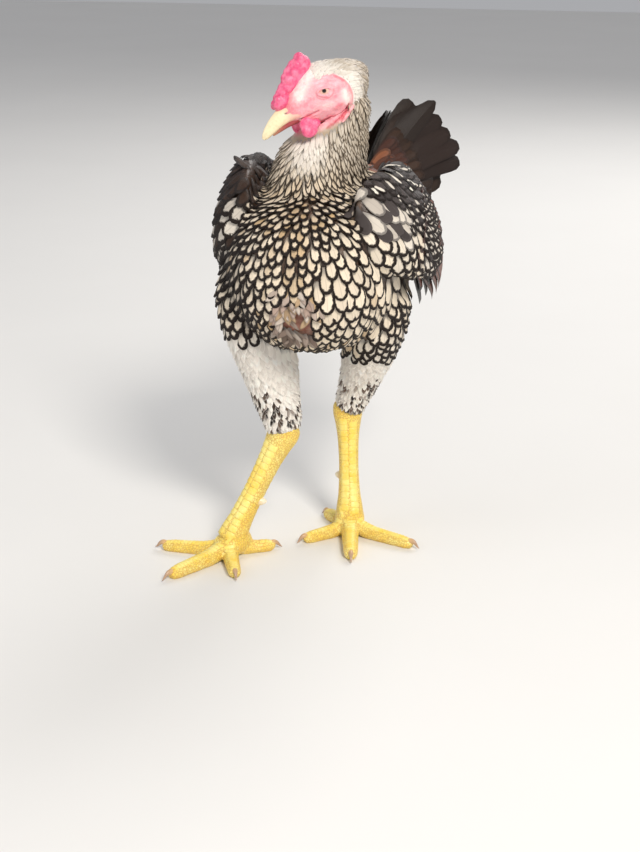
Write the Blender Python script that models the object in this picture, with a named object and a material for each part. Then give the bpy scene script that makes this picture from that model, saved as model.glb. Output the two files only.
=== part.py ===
"""A life-size standing game cock of an Asian breed, as a still museum model.

The bird faces -Y, its left is +X and the floor is z = 0. Lengths are in metres. It steps off to its
right: the right foot is ahead, the head is turned right and bent down, the tail swings to its left.
"""

import math
import random

import bmesh
import bpy
from mathutils import Matrix, Vector
from mathutils.bvhtree import BVHTree

# Driving sizes
EYE_HEIGHT = 0.4388
TOE_MIDDLE = 0.070
TOE_SINK = 0.0011
TOE_RISE = 0.0055
GAP = 0.0003
VANE_EDGE = 0.0006
VANE_SHAFT = 0.0011
SEED = 11

# The head's place and turn
HEAD_AT = Vector((0.0116, -0.0437, EYE_HEIGHT - 0.0016))
HEAD_YAW = math.radians(-56)
HEAD_PITCH = math.radians(21)
EYE_AT = Vector((0.0183, -0.006, 0.004))
EYE_RADIUS = 0.0068
BEAK_TIP = Vector((0, -0.0665, -0.0175))

# Each leg: the drumstick's line with its half width and depth, the shank's foot, the way that its toes
# point, and each toe's angle from that and its share of TOE_MIDDLE
LEGS = {
    "left": {
        "side": 1,
        "drumstick": (
            (0.036, -0.004, 0.302, 0.012, 0.014), (0.042, -0.004, 0.284, 0.028, 0.034),
            (0.049, 0.002, 0.245, 0.0325, 0.043), (0.0420, 0.022, 0.203, 0.0280, 0.0345),
            (0.0300, 0.037, 0.164, 0.0205, 0.0250), (0.0190, 0.0452, 0.134, 0.0156, 0.0182),
            (0.0140, 0.0475, 0.1225, 0.0146, 0.0168),
        ),
        "hock": Vector((0.0127, 0.0480, 0.1200)),
        "foot": Vector((0.0201, 0.0270, 0.0190)),
        "heading": math.radians(14),
        "toes": {"middle": (0, 1.0), "outer": (55, 1.02), "inner": (-58, 0.74), "hind": (-146, 0.56)},
    },
    "right": {
        "side": -1,
        "drumstick": (
            (-0.036, -0.034, 0.312, 0.012, 0.014), (-0.044, -0.040, 0.292, 0.028, 0.034),
            (-0.0485, -0.050, 0.252, 0.0325, 0.043), (-0.0440, -0.045, 0.206, 0.0265, 0.0330),
            (-0.0375, -0.038, 0.166, 0.0205, 0.0250), (-0.0315, -0.0338, 0.134, 0.0166, 0.0190),
            (-0.0297, -0.0331, 0.1215, 0.0148, 0.0176),
        ),
        "hock": Vector((-0.0295, -0.0331, 0.1195)),
        "foot": Vector((-0.0742, -0.0597, 0.0190)),
        "heading": math.radians(-29),
        "toes": {"middle": (0, 1.06), "outer": (62, 0.93), "inner": (-52, 0.76), "hind": (-150, 0.54)},
    },
}

# How far each wing sits in from the drawn line, up at its shoulder, and in at its front edge
WING_SET = {1: (0.0, 0.0080, 0.0110), -1: (0.0075, 0.0120, 0.0050)}

# Wing feather tiers on a folded wing: count, root line and tip line in the side view (y, z), width, lift
WING_LEAN = math.radians(16)
WING_TIERS = (
    {"name": "primaries", "count": 5, "roots": ((0.030, 0.262), (0.055, 0.276)),
     "tips": ((0.158, 0.226), (0.186, 0.245)), "width": 0.019, "lift": -0.0052, "turn": 7},
    {"name": "secondaries", "count": 8, "roots": ((-0.012, 0.264), (0.058, 0.322)),
     "tips": ((0.120, 0.218), (0.156, 0.278)), "width": 0.0205, "lift": 0.0, "turn": 9},
    {"name": "greater_coverts", "count": 7, "roots": ((-0.048, 0.276), (0.018, 0.330)),
     "tips": ((0.022, 0.236), (0.078, 0.304)), "width": 0.0185, "lift": 0.0024, "turn": 11},
    {"name": "median_coverts", "count": 6, "roots": ((-0.058, 0.290), (-0.006, 0.338)),
     "tips": ((-0.010, 0.262), (0.040, 0.322)), "width": 0.0170, "lift": 0.0042, "turn": 12},
)

# Tail: its root, the way it points, and the fan of main feathers on each side
TAIL_ROOT = Vector((0.004, 0.158, 0.306))
TAIL_YAW = math.radians(22)
TAIL_PAIRS = 6
TAIL_RISE = (math.radians(56), math.radians(14))
TAIL_LENGTH = (0.104, 0.080)


def clear_scene():
    """Empties the scene that the script starts in."""
    for thing in list(bpy.data.objects):
        bpy.data.objects.remove(thing)


def collection_named(name, parent=None):
    """A new collection in the scene."""
    made = bpy.data.collections.new(name)
    (parent or bpy.context.scene.collection).children.link(made)
    return made


clear_scene()
BIRD = collection_named("game_cock")
WORK = collection_named("work")


def finish_of(name, colour, roughness):
    """A plain material."""
    made = bpy.data.materials.new(name)
    made.use_nodes = True
    shader = made.node_tree.nodes["Principled BSDF"]
    shader.inputs["Base Color"].default_value = (*colour, 1)
    shader.inputs["Roughness"].default_value = roughness
    shader.inputs["Metallic"].default_value = 0.0
    return made


LACED = finish_of("laced_feathers", (0.72, 0.64, 0.50), 0.7)
HACKLE = finish_of("cream_hackle", (0.76, 0.70, 0.56), 0.7)
BLACK = finish_of("black_tail_feathers", (0.022, 0.022, 0.024), 0.45)
BROWN = finish_of("brown_wing_feathers", (0.20, 0.06, 0.03), 0.55)
DOWN = finish_of("white_leg_down", (0.86, 0.82, 0.74), 0.8)
FACE = finish_of("pink_face_skin", (0.80, 0.30, 0.30), 0.5)
COMB = finish_of("red_comb", (0.72, 0.06, 0.14), 0.45)
HORN = finish_of("pale_horn", (0.86, 0.72, 0.48), 0.35)
EYE = finish_of("pearl_eye", (0.75, 0.66, 0.50), 0.08)
SCALE = finish_of("yellow_leg_scales", (0.86, 0.62, 0.12), 0.45)


def object_from(name, mesh, material=None, home=None):
    """A new object of this mesh in the bird's collection, or another."""
    made = bpy.data.objects.new(name, mesh)
    (home or BIRD).objects.link(made)
    if material:
        mesh.materials.clear()
        mesh.materials.append(material)
    return made


def mesh_of(name, form):
    """A mesh from a bmesh, its faces turned outward."""
    bmesh.ops.recalc_face_normals(form, faces=form.faces)
    mesh = bpy.data.meshes.new(name)
    form.to_mesh(mesh)
    form.free()
    mesh.shade_smooth()
    return mesh


def eased(rows, count):
    """Rows of equal length read along a smooth curve through them, count in all."""
    last = len(rows) - 1
    found = []
    for step in range(count):
        place = step / (count - 1) * last
        i = min(int(place), last - 1)
        t = place - i
        before, here, there, after = (rows[max(0, min(last, i + k))] for k in (-1, 0, 1, 2))
        found.append([
            0.5 * (2 * b + (c - a) * t + (2 * a - 5 * b + 4 * c - d) * t * t
                   + (3 * b - a - 3 * c + d) * t * t * t)
            for a, b, c, d in zip(before, here, there, after, strict=True)
        ])
    return found


def loft(name, rows, sides, rings=None, square=2.0, shape=None):
    """A closed skin over unlike oval rings.

    A row is (x, y, z of the middle, x, y, z of the way that counts as up, half width, half up, half down).
    square is 2 for an oval and more for a boxier ring; shape(ring, angle) may swell single points.
    """
    rows = eased(rows, rings) if rings else [list(row) for row in rows]
    form = bmesh.new()
    hoops = []
    for n, row in enumerate(rows):
        middle = Vector(row[0:3])
        ahead = Vector(rows[min(n + 1, len(rows) - 1)][0:3]) - Vector(rows[max(n - 1, 0)][0:3])
        ahead.normalize()
        up = Vector(row[3:6])
        up = (up - ahead * up.dot(ahead)).normalized()
        across = up.cross(ahead)
        wide, high, low = (max(value, 0.0004) for value in row[6:9])
        hoop = []
        for k in range(sides):
            angle = 2 * math.pi * k / sides
            c, s = math.cos(angle), math.sin(angle)
            reach = (abs(c) ** square + abs(s) ** square) ** (-1 / square)
            if shape:
                reach *= shape(n / (len(rows) - 1), angle)
            tall = high if s > 0 else low
            hoop.append(form.verts.new(middle + across * (c * wide * reach) + up * (s * tall * reach)))
        hoops.append(hoop)
    for one, two in zip(hoops, hoops[1:], strict=False):
        for k in range(sides):
            form.faces.new((one[k], one[(k + 1) % sides], two[(k + 1) % sides], two[k]))
    for hoop in (hoops[0], hoops[-1]):
        form.faces.new(hoop)
    return mesh_of(name, form)


def along_y(rows):
    """Rows (y, z, half width, half up, half down) as loft rows along Y, with +Z up."""
    return [(0, y, z, 0, 0, 1, wide, high, low) for y, z, wide, high, low in rows]


def vane(name, root, tip, face, width, bend=0.0, steps=4, blunt=0.62, sweep=0.0, ridge=VANE_SHAFT):
    """A feather's closed blade from root to tip, its outer side turned to face.

    bend bows it towards its face by that share of its length, and sweep bows it in its own plane. The
    rings close up towards the tip, where the blade rounds off.
    """
    form = bmesh.new()
    line = tip - root
    length = line.length
    aim = line.normalized()
    out = (face - aim * face.dot(aim)).normalized()
    across = aim.cross(out)
    hoops = []
    for n in range(steps + 1):
        t = 1 - (1 - n / steps) ** 1.5
        arch = 4 * t * (1 - t)
        middle = root + line * t + out * (bend * length * arch) + across * (sweep * length * arch)
        swell = min(1.0, 0.42 + 1.9 * t) * (1 - max(0.0, (t - blunt) / (1 - blunt)) ** 2.6 * 0.72)
        half = width / 2 * swell
        drop = half * 0.16
        thick = VANE_EDGE if n < steps else VANE_EDGE * 0.8
        hoop = [
            middle - across * half - out * drop,
            middle + out * (ridge - thick) / 2,
            middle + across * half - out * drop,
            middle + across * half - out * (drop + thick),
            middle - out * (ridge + thick) / 2,
            middle - across * half - out * (drop + thick),
        ]
        hoops.append([form.verts.new(point) for point in hoop])
    for one, two in zip(hoops, hoops[1:], strict=False):
        for k, (a, b) in enumerate(((0, 1), (1, 2), (2, 3), (3, 4), (4, 5), (5, 0))):
            if k in (0, 1):
                form.faces.new((one[a], one[b], two[b]))
                form.faces.new((one[a], two[b], two[a]))
            elif k in (3, 4):
                form.faces.new((one[b], one[a], two[a]))
                form.faces.new((one[b], two[a], two[b]))
            else:
                form.faces.new((one[a], one[b], two[b], two[a]))
    for hoop in (hoops[0], hoops[-1]):
        form.faces.new((hoop[0], hoop[1], hoop[4], hoop[5]))
        form.faces.new((hoop[1], hoop[2], hoop[3], hoop[4]))
    return object_from(name, mesh_of(name, form), home=WORK)


def ball(name, middle, sizes, turn=None, rough=2, home=None):
    """An egg of half sizes (x, y, z), turned by a matrix and closed."""
    form = bmesh.new()
    bmesh.ops.create_icosphere(form, subdivisions=rough, radius=1.0)
    place = Matrix.Translation(middle) @ (turn or Matrix.Identity(4)) @ Matrix.Diagonal((*sizes, 1))
    bmesh.ops.transform(form, matrix=place, verts=form.verts)
    return object_from(name, mesh_of(name, form), home=home or WORK)


def settle(thing):
    """Applies an object's modifiers."""
    graph = bpy.context.evaluated_depsgraph_get()
    done = bpy.data.meshes.new_from_object(thing.evaluated_get(graph))
    thing.modifiers.clear()
    thing.data = done


def largest_only(thing):
    """Keeps the largest closed surface of a mesh."""
    form = bmesh.new()
    form.from_mesh(thing.data)
    left = set(form.verts)
    groups = []
    while left:
        stack = [left.pop()]
        group = set(stack)
        while stack:
            for edge in stack.pop().link_edges:
                for vert in edge.verts:
                    if vert in left:
                        left.discard(vert)
                        group.add(vert)
                        stack.append(vert)
        groups.append(group)

    def girth(group):
        points = [vert.co for vert in group]
        return math.prod(max(p[k] for p in points) - min(p[k] for p in points) + 1e-6 for k in range(3))

    groups.sort(key=girth)
    loose = [vert for group in groups[:-1] for vert in group]
    bmesh.ops.delete(form, geom=loose, context="VERTS")
    form.to_mesh(thing.data)
    form.free()


def fuse(base, pieces):
    """One union of the base with closed pieces, which are then removed."""
    batch = collection_named("batch", WORK)
    for piece in pieces:
        for home in list(piece.users_collection):
            home.objects.unlink(piece)
        batch.objects.link(piece)
    join = base.modifiers.new("join", "BOOLEAN")
    join.operation = "UNION"
    join.operand_type = "COLLECTION"
    join.collection = batch
    join.solver = "EXACT"
    bpy.context.view_layer.update()
    settle(base)
    for piece in pieces:
        bpy.data.objects.remove(piece)
    bpy.data.collections.remove(batch)
    largest_only(base)


def volume_of(thing):
    """The volume inside a closed mesh, or 0 when the mesh is open."""
    form = bmesh.new()
    form.from_mesh(thing.data)
    whole = all(len(edge.link_faces) == 2 for edge in form.edges)
    volume = form.calc_volume() if whole and form.faces else 0.0
    form.free()
    return volume


def cut(thing, *cutters, keep=True, solvers=("EXACT", "MANIFOLD")):
    """Takes the cutters out of a thing one by one, with the second solver where the first one fails."""
    for cutter in cutters:
        before = thing.data.copy()
        full = volume_of(thing)
        for solver in solvers:
            thing.data = before.copy()
            step = thing.modifiers.new("cut", "BOOLEAN")
            step.operation = "DIFFERENCE"
            step.object = cutter
            step.solver = solver
            bpy.context.view_layer.update()
            settle(thing)
            if 0.2 * full < volume_of(thing) <= 1.001 * full:
                break
    if not keep:
        for cutter in cutters:
            bpy.data.objects.remove(cutter)
    largest_only(thing)


WHOLE = {}


def grown(thing, by=GAP):
    """A copy that stands out by a small gap all over, for cutting a neighbour back to it.

    It is made from the shape that the thing had before its own cuts, whose edges are all soft.
    """
    form = bmesh.new()
    form.from_mesh(WHOLE.get(thing.name, thing.data))
    form.normal_update()
    moves = [(vert, vert.normal * by * min(vert.calc_shell_factor(), 2.5)) for vert in form.verts]
    for vert, move in moves:
        vert.co += move
    mesh = bpy.data.meshes.new("grown")
    form.to_mesh(mesh)
    form.free()
    return object_from("grown", mesh, home=WORK)


def clear_of(thing, *neighbours, solvers=("EXACT", "MANIFOLD")):
    """Cuts a thing back to a small gap from each neighbour."""
    WHOLE[thing.name] = thing.data.copy()
    cut(thing, *(grown(other) for other in neighbours), keep=False, solvers=solvers)
    return thing


def torso():
    """The trunk from breast to tail root, without wings and legs."""
    rows = along_y([
        (-0.124, 0.290, 0.010, 0.012, 0.012),
        (-0.119, 0.290, 0.036, 0.036, 0.036),
        (-0.102, 0.289, 0.057, 0.053, 0.061),
        (-0.070, 0.288, 0.072, 0.066, 0.079),
        (-0.030, 0.288, 0.079, 0.077, 0.087),
        (0.015, 0.286, 0.080, 0.083, 0.094),
        (0.060, 0.284, 0.074, 0.074, 0.096),
        (0.100, 0.286, 0.064, 0.062, 0.086),
        (0.135, 0.293, 0.051, 0.047, 0.064),
        (0.160, 0.300, 0.037, 0.034, 0.042),
        (0.176, 0.306, 0.024, 0.022, 0.024),
        (0.181, 0.308, 0.010, 0.010, 0.010),
    ])
    made = object_from("torso", loft("torso", rows, 22, 21, square=2.2), LACED)
    return made


def head_matrix():
    """From the head's own frame, facing -Y, to the bird's."""
    return (Matrix.Translation(HEAD_AT) @ Matrix.Rotation(HEAD_YAW, 4, "Z")
            @ Matrix.Rotation(HEAD_PITCH, 4, "X"))


def place_head(thing):
    """Moves a piece drawn in the head's frame to its place."""
    thing.data.transform(head_matrix())
    return thing


def eye(side):
    """The ball of one eye, with the cornea a little fuller."""
    name = "eye_left" if side > 0 else "eye_right"
    form = bmesh.new()
    bmesh.ops.create_uvsphere(form, u_segments=12, v_segments=8, radius=EYE_RADIUS)
    middle = Vector((side * (EYE_AT.x - 0.0036), EYE_AT.y, EYE_AT.z))
    turn = Matrix.Rotation(math.radians(90), 4, "Y")
    bmesh.ops.transform(form, matrix=Matrix.Translation(middle) @ turn, verts=form.verts)
    return place_head(object_from(name, mesh_of(name, form), EYE))


def lid(side):
    """A raised lid ring round one eye, narrower than it is long."""
    bpy.ops.mesh.primitive_torus_add(
        major_segments=14, minor_segments=6, major_radius=0.0062, minor_radius=0.0017,
        location=(side * (EYE_AT.x + 0.0012), EYE_AT.y, EYE_AT.z),
        rotation=(0, math.radians(90), 0),
    )
    ring = bpy.context.object
    ring.data.transform(ring.matrix_basis @ Matrix.Diagonal((0.78, 1.08, 1.0, 1)))
    ring.matrix_basis = Matrix.Identity(4)
    for home in list(ring.users_collection):
        home.objects.unlink(ring)
    WORK.objects.link(ring)
    return ring


def head(eyes):
    """Skull, face and jaw in one, with brows, lids, ear cups and the mouth's corners."""
    rows = along_y([
        (0.0395, 0.000, 0.006, 0.006, 0.006),
        (0.036, 0.000, 0.0135, 0.0125, 0.0140),
        (0.026, 0.000, 0.0195, 0.0190, 0.0220),
        (0.012, 0.000, 0.0222, 0.0240, 0.0265),
        (-0.003, 0.000, 0.0215, 0.0262, 0.0268),
        (-0.014, -0.001, 0.0190, 0.0238, 0.0245),
        (-0.024, -0.003, 0.0152, 0.0180, 0.0205),
        (-0.033, -0.005, 0.0112, 0.0122, 0.0140),
        (-0.040, -0.007, 0.0080, 0.0080, 0.0085),
    ])
    made = object_from("head", loft("head", rows, 16, 15), FACE)
    features = []
    for side in (1, -1):
        features.append(lid(side))
        features.append(ball("brow", (side * 0.0150, -0.007, 0.0125), (0.0062, 0.0125, 0.0042)))
        features.append(ball("cheek", (side * 0.0125, 0.000, -0.0100), (0.0090, 0.0130, 0.0090)))
        features.append(ball("gape", (side * 0.0080, -0.029, -0.0125), (0.0046, 0.0090, 0.0036)))
    fuse(made, features)
    holes = []
    for side in (1, -1):
        holes.append(ball("ear_cup", (side * 0.0235, 0.0165, -0.0030), (0.0042, 0.0026, 0.0034), rough=1))
        holes.append(ball("mouth", (side * 0.0130, -0.0335, -0.0138), (0.0042, 0.0068, 0.0007), rough=1))
    cut(made, *holes, keep=False)
    place_head(made)
    return clear_of(made, *eyes)


def beak_upper(neighbour):
    """The upper bill, hooked at the tip, with a nostril slot on each side."""
    rows = [
        (0, -0.033, -0.0060, 0, 0, 1, 0.0088, 0.0090, 0.0060),
        (0, -0.041, -0.0070, 0, 0, 1, 0.0080, 0.0088, 0.0050),
        (0, -0.050, -0.0095, 0, 0, 1, 0.0062, 0.0072, 0.0042),
        (0, -0.058, -0.0130, 0, 0, 1, 0.0043, 0.0052, 0.0036),
        (0, -0.0635, -0.0168, 0, 0.3, 1, 0.0026, 0.0032, 0.0026),
        (0, BEAK_TIP.y, BEAK_TIP.z, 0, 0.6, 1, 0.0010, 0.0010, 0.0010),
    ]
    made = object_from("beak_upper", loft("beak_upper", rows, 12, 9), HORN)
    slots = [
        ball("nostril", (side * 0.0072, -0.0415, -0.0035), (0.0022, 0.0030, 0.0009),
             Matrix.Rotation(math.radians(24), 4, "X"))
        for side in (1, -1)
    ]
    cut(made, *slots, keep=False)
    place_head(made)
    return clear_of(made, neighbour)


def beak_lower(*neighbours):
    """The lower bill, closed under the upper one."""
    rows = [
        (0, -0.033, -0.0130, 0, 0, 1, 0.0074, 0.0056, 0.0046),
        (0, -0.043, -0.0142, 0, 0, 1, 0.0060, 0.0058, 0.0034),
        (0, -0.051, -0.0160, 0, 0, 1, 0.0041, 0.0048, 0.0026),
        (0, -0.0575, -0.0184, 0, 0, 1, 0.0016, 0.0030, 0.0011),
    ]
    made = place_head(object_from("beak_lower", loft("beak_lower", rows, 10, 6), HORN))
    return clear_of(made, *neighbours)


def comb(*neighbours):
    """A low three-rowed comb of knobs up the forehead, the middle row the highest."""
    draw = random.Random(SEED)
    start, top = Vector((0, -0.043, 0.0030)), Vector((0, -0.006, 0.0290))
    slope = math.atan2(top.z - start.z, top.y - start.y)
    turn = Matrix.Rotation(slope, 4, "X")
    out = Vector((0, -math.sin(slope), math.cos(slope)))
    core = ball("comb", start.lerp(top, 0.57) + out * 0.0020, (0.0080, 0.0245, 0.0078), turn, home=BIRD)
    core.data.materials.append(COMB)
    knobs = []
    for row, count, reach in ((0, 5, 0.0058), (1, 4, 0.0022), (-1, 4, 0.0022)):
        for n in range(count):
            t = (n + 0.5) / count
            swell = 0.62 + 0.38 * math.sin(math.pi * min(1.0, 0.25 + 0.75 * t))
            size = (0.0052 if row == 0 else 0.0044) * swell * draw.uniform(0.92, 1.1)
            middle = start.lerp(top, 0.06 + 0.90 * t) + out * (reach * (0.6 + 0.9 * t))
            middle.x = row * (0.0046 + 0.0016 * t)
            sizes = (size, size * 1.15, size * (1.25 + 0.5 * t if row == 0 else 1.05))
            knobs.append(ball("knob", middle, sizes, turn, rough=1 if row else 2))
    fuse(core, knobs)
    place_head(core)
    return clear_of(core, *neighbours)


def wattle(side, *neighbours):
    """A small hanging lobe behind the lower bill."""
    name = "wattle_left" if side > 0 else "wattle_right"
    rows = [
        (side * 0.0100, -0.0282, -0.0135, 1, 0, 0, 0.0052, 0.0034, 0.0034),
        (side * 0.0124, -0.0284, -0.0185, 1, 0, 0, 0.0076, 0.0036, 0.0036),
        (side * 0.0130, -0.0278, -0.0240, 1, 0, 0, 0.0078, 0.0034, 0.0034),
        (side * 0.0126, -0.0270, -0.0286, 1, 0, 0, 0.0054, 0.0026, 0.0026),
        (side * 0.0122, -0.0266, -0.0306, 1, 0, 0, 0.0020, 0.0012, 0.0012),
    ]
    made = place_head(object_from(name, loft(name, rows, 12, 7), COMB))
    return clear_of(made, *neighbours)


def earlobe(side, *neighbours):
    """A flat oval lobe from under the ear down along the jaw."""
    name = "earlobe_left" if side > 0 else "earlobe_right"
    turn = Matrix.Rotation(math.radians(side * 9), 4, "Z") @ Matrix.Rotation(math.radians(38), 4, "X")
    made = ball(name, (side * 0.0212, 0.0055, -0.0172), (0.0036, 0.0112, 0.0054), turn, home=BIRD)
    made.data.materials.append(FACE)
    place_head(made)
    return clear_of(made, *neighbours)


def neck(*neighbours):
    """The neck in its hackle, from the shoulders up to the turned head."""
    back_up = head_matrix().to_3x3() @ Vector((0, 1, 0))
    back_up.z = 0
    back_up.normalize()
    levels = [
        (0.000, -0.010, 0.318, 0.0, 0.058, 0.058, 0.096),
        (0.001, -0.018, 0.343, 0.1, 0.046, 0.052, 0.076),
        (0.005, -0.025, 0.366, 0.3, 0.0385, 0.044, 0.056),
        (0.0100, -0.0300, 0.386, 0.7, 0.0315, 0.0385, 0.0385),
        (0.0140, -0.0335, 0.402, 1.0, 0.0246, 0.0355, 0.0290),
        (0.0175, -0.0365, 0.417, 1.0, 0.0220, 0.0325, 0.0215),
        (0.0190, -0.0385, 0.432, 1.0, 0.0186, 0.0285, 0.0165),
        (0.0190, -0.0385, 0.440, 1.0, 0.0120, 0.0190, 0.0110),
    ]
    rows = []
    for x, y, z, turned, wide, behind, before in levels:
        back = Vector((0, 1, 0)).lerp(back_up, turned)
        rows.append((x, y, z, *back, wide, behind, before))
    made = object_from("neck", loft("neck", rows, 18, 13), HACKLE)
    return clear_of(made, *neighbours)


def leg_ways(leg):
    """A leg's way ahead and its way to the bird's own left."""
    ahead = Vector((math.sin(leg["heading"]), -math.cos(leg["heading"]), 0))
    return ahead, Vector((-ahead.y, ahead.x, 0))


def thigh(name, leg, *neighbours):
    """Thigh and drumstick in their feathers, tapering to the hock."""
    ahead, _ = leg_ways(leg)
    rows = [(x, y, z, *(-ahead), wide, deep, deep) for x, y, z, wide, deep in leg["drumstick"]]
    made = object_from(f"thigh_{name}", loft(f"thigh_{name}", rows, 16, 13), LACED)
    return clear_of(made, *neighbours)


def shank(name, leg, *neighbours):
    """Hock joint and shank, with a row of raised plates down the front."""
    ahead, _ = leg_ways(leg)
    hock, foot = leg["hock"], leg["foot"]
    levels = [
        (-0.085, 0.0090, 0.0090, 0.0080),
        (-0.040, 0.0138, 0.0155, 0.0138),
        (0.040, 0.0146, 0.0178, 0.0142),
        (0.150, 0.0125, 0.0155, 0.0125),
        (0.300, 0.0106, 0.0132, 0.0112),
        (0.550, 0.0098, 0.0122, 0.0104),
        (0.800, 0.0110, 0.0126, 0.0114),
        (0.930, 0.0130, 0.0136, 0.0130),
        (1.020, 0.0138, 0.0134, 0.0136),
    ]
    rows = []
    for t, wide, behind, before in eased(levels, 17):
        middle = hock.lerp(foot, t)
        rows.append((*middle, *(-ahead), wide, behind, before))

    plates = 9

    def plated(along, angle):
        """Each plate stands out towards its lower edge, on the front half only."""
        if math.sin(angle) > -0.25 or not 0.2 < along < 0.96:
            return 1.0
        share = (along - 0.2) / 0.76 * plates
        return 1.0 + 0.075 * (share - math.floor(share))

    made = object_from(f"shank_{name}", loft(f"shank_{name}", rows, 12, square=2.1, shape=plated), SCALE)
    return clear_of(made, *neighbours)


def floor_block():
    """A block under the floor that gives every foot its flats."""
    bpy.ops.mesh.primitive_cube_add(size=1, location=(0, 0, -0.5))
    block = bpy.context.object
    for home in list(block.users_collection):
        home.objects.unlink(block)
    WORK.objects.link(block)
    return block


def foot_pad(name, leg):
    """The ball of the foot, where the toes meet."""
    ahead, _ = leg_ways(leg)
    foot = leg["foot"]
    start = foot + Vector((0, 0, 0.004)) - ahead * 0.004
    rows = [
        (*(start + ahead * -0.0125 - Vector((0, 0, 0.002))), 0, 0, 1, 0.0072, 0.0070, 0.0140),
        (*(start + ahead * -0.007 - Vector((0, 0, 0.005))), 0, 0, 1, 0.0124, 0.0108, 0.0190),
        (*(start + ahead * 0.004 - Vector((0, 0, 0.0080))), 0, 0, 1, 0.0144, 0.0102, 0.0164),
        (*(start + ahead * 0.015 - Vector((0, 0, 0.0115))), 0, 0, 1, 0.0130, 0.0078, 0.0126),
        (*(start + ahead * 0.022 - Vector((0, 0, 0.0135))), 0, 0, 1, 0.0076, 0.0054, 0.0100),
    ]
    made = object_from(f"foot_{name}", loft(f"foot_{name}", rows, 14, 8), SCALE)
    cut(made, floor_block(), keep=False)
    return made


def toe_way(leg, angle):
    """The way that a toe points, from its angle to the leg's heading."""
    turned = leg["heading"] + math.radians(angle) * leg["side"]
    return Vector((math.sin(turned), -math.cos(turned), 0))


def toe_start(leg, toe):
    """Where a toe's line starts inside the ball of the foot."""
    ahead, _ = leg_ways(leg)
    base = Vector((leg["foot"].x, leg["foot"].y, 0))
    return base + ahead * (-0.004 if toe == "hind" else 0.004)


def toe(name, leg, toe_name, *neighbours):
    """One toe with its plates, flat where it rests, without its claw."""
    angle, share = leg["toes"][toe_name]
    way = toe_way(leg, angle)
    length = TOE_MIDDLE * share
    start = toe_start(leg, toe_name)
    thick = 0.0085 if toe_name == "middle" else 0.0077
    joints = max(4, round(length / 0.0105))
    rows = []
    levels = [(0.0, 1.12), (0.18, 1.08), (0.38, 0.98), (0.62, 0.91), (0.84, 0.86), (0.95, 0.76), (1.0, 0.50)]
    for t, girth in eased(levels, 2 * joints + 1):
        radius = thick * girth
        below = radius * 0.84
        height = below - TOE_SINK + TOE_RISE * max(0.0, 1 - t / 0.45) ** 2
        rows.append((*(start + way * (length * t)), 0, 0, 1, radius, radius * 0.92, below))
        rows[-1] = (*rows[-1][:2], height, *rows[-1][3:])

    def plated(along, turn):
        """Plates across the top, each fuller at its far edge, and pads below."""
        share_along = along * joints
        part = share_along - math.floor(share_along)
        if math.sin(turn) > 0.2:
            return 1.0 + 0.10 * part
        return 1.0 + 0.05 * math.sin(math.pi * part)

    title = f"toe_{name}_{toe_name}"
    made = object_from(title, loft(title, rows, 8, shape=plated), SCALE)
    cut(made, floor_block(), keep=False)
    return clear_of(made, *neighbours)


def claw(name, leg, toe_name, *neighbours):
    """A curved claw from the toe's end, its tip just off the floor."""
    angle, share = leg["toes"][toe_name]
    way = toe_way(leg, angle)
    end = toe_start(leg, toe_name) + way * (TOE_MIDDLE * share - 0.0035)
    reach = 0.0140 if toe_name == "middle" else 0.0120
    girth = 0.0037
    rows = []
    for t in (0.0, 0.3, 0.55, 0.8, 1.0):
        height = 0.0052 + 0.0026 * math.sin(math.pi * min(1, t * 1.15)) - 0.0032 * t * t
        radius = max(girth * (1 - t) ** 0.75, 0.0006)
        rows.append((*(end + way * (reach * t)), 0, 0, 1, radius * 0.86, radius, radius))
        rows[-1] = (*rows[-1][:2], height, *rows[-1][3:])
    title = f"claw_{name}_{toe_name}"
    made = object_from(title, loft(title, rows, 6), HORN)
    return clear_of(made, *neighbours)


def spur(name, leg, *neighbours):
    """A young cock's blunt spur on the inner back of the shank."""
    ahead, left = leg_ways(leg)
    out = (left * -leg["side"] * 0.8 - ahead * 0.6).normalized()
    root = leg["hock"].lerp(leg["foot"], 0.66) + out * 0.006
    rows = []
    for t, radius in ((0.0, 0.0046), (0.45, 0.0040), (0.8, 0.0026), (1.0, 0.0008)):
        rows.append((*(root + out * (0.0105 * t)), 0, 0, 1, radius, radius, radius))
    title = f"spur_{name}"
    made = object_from(title, loft(title, rows, 9), HORN)
    return clear_of(made, *neighbours)


def wing_core(side):
    """The folded wing's body: a lens that lies along the flank, its top edge leaning in."""
    levels = [
        (0.058, -0.086, 0.326, 0.006, 0.014),
        (0.066, -0.078, 0.326, 0.013, 0.034),
        (0.073, -0.052, 0.322, 0.018, 0.048),
        (0.078, -0.012, 0.314, 0.0195, 0.054),
        (0.0785, 0.032, 0.303, 0.0205, 0.051),
        (0.0745, 0.074, 0.291, 0.0200, 0.042),
        (0.0680, 0.112, 0.279, 0.0160, 0.028),
        (0.0610, 0.134, 0.272, 0.0070, 0.013),
    ]
    lean = Vector((-side * math.sin(WING_LEAN), 0, math.cos(WING_LEAN)))
    inward, upward, fore = WING_SET[side]
    rows = []
    for x, y, z, thick, tall in levels:
        share = max(0.0, min(1.0, (0.14 - y) / 0.22))
        ahead = max(0.0, min(1.0, (-0.045 - y) / 0.040))
        rows.append((side * (x - inward * share - fore * ahead), y, z + upward * share, *lean, thick, tall, tall))
    name = "wing_left" if side > 0 else "wing_right"
    return object_from(name, loft(name, rows, 14, 11), BROWN)


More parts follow.
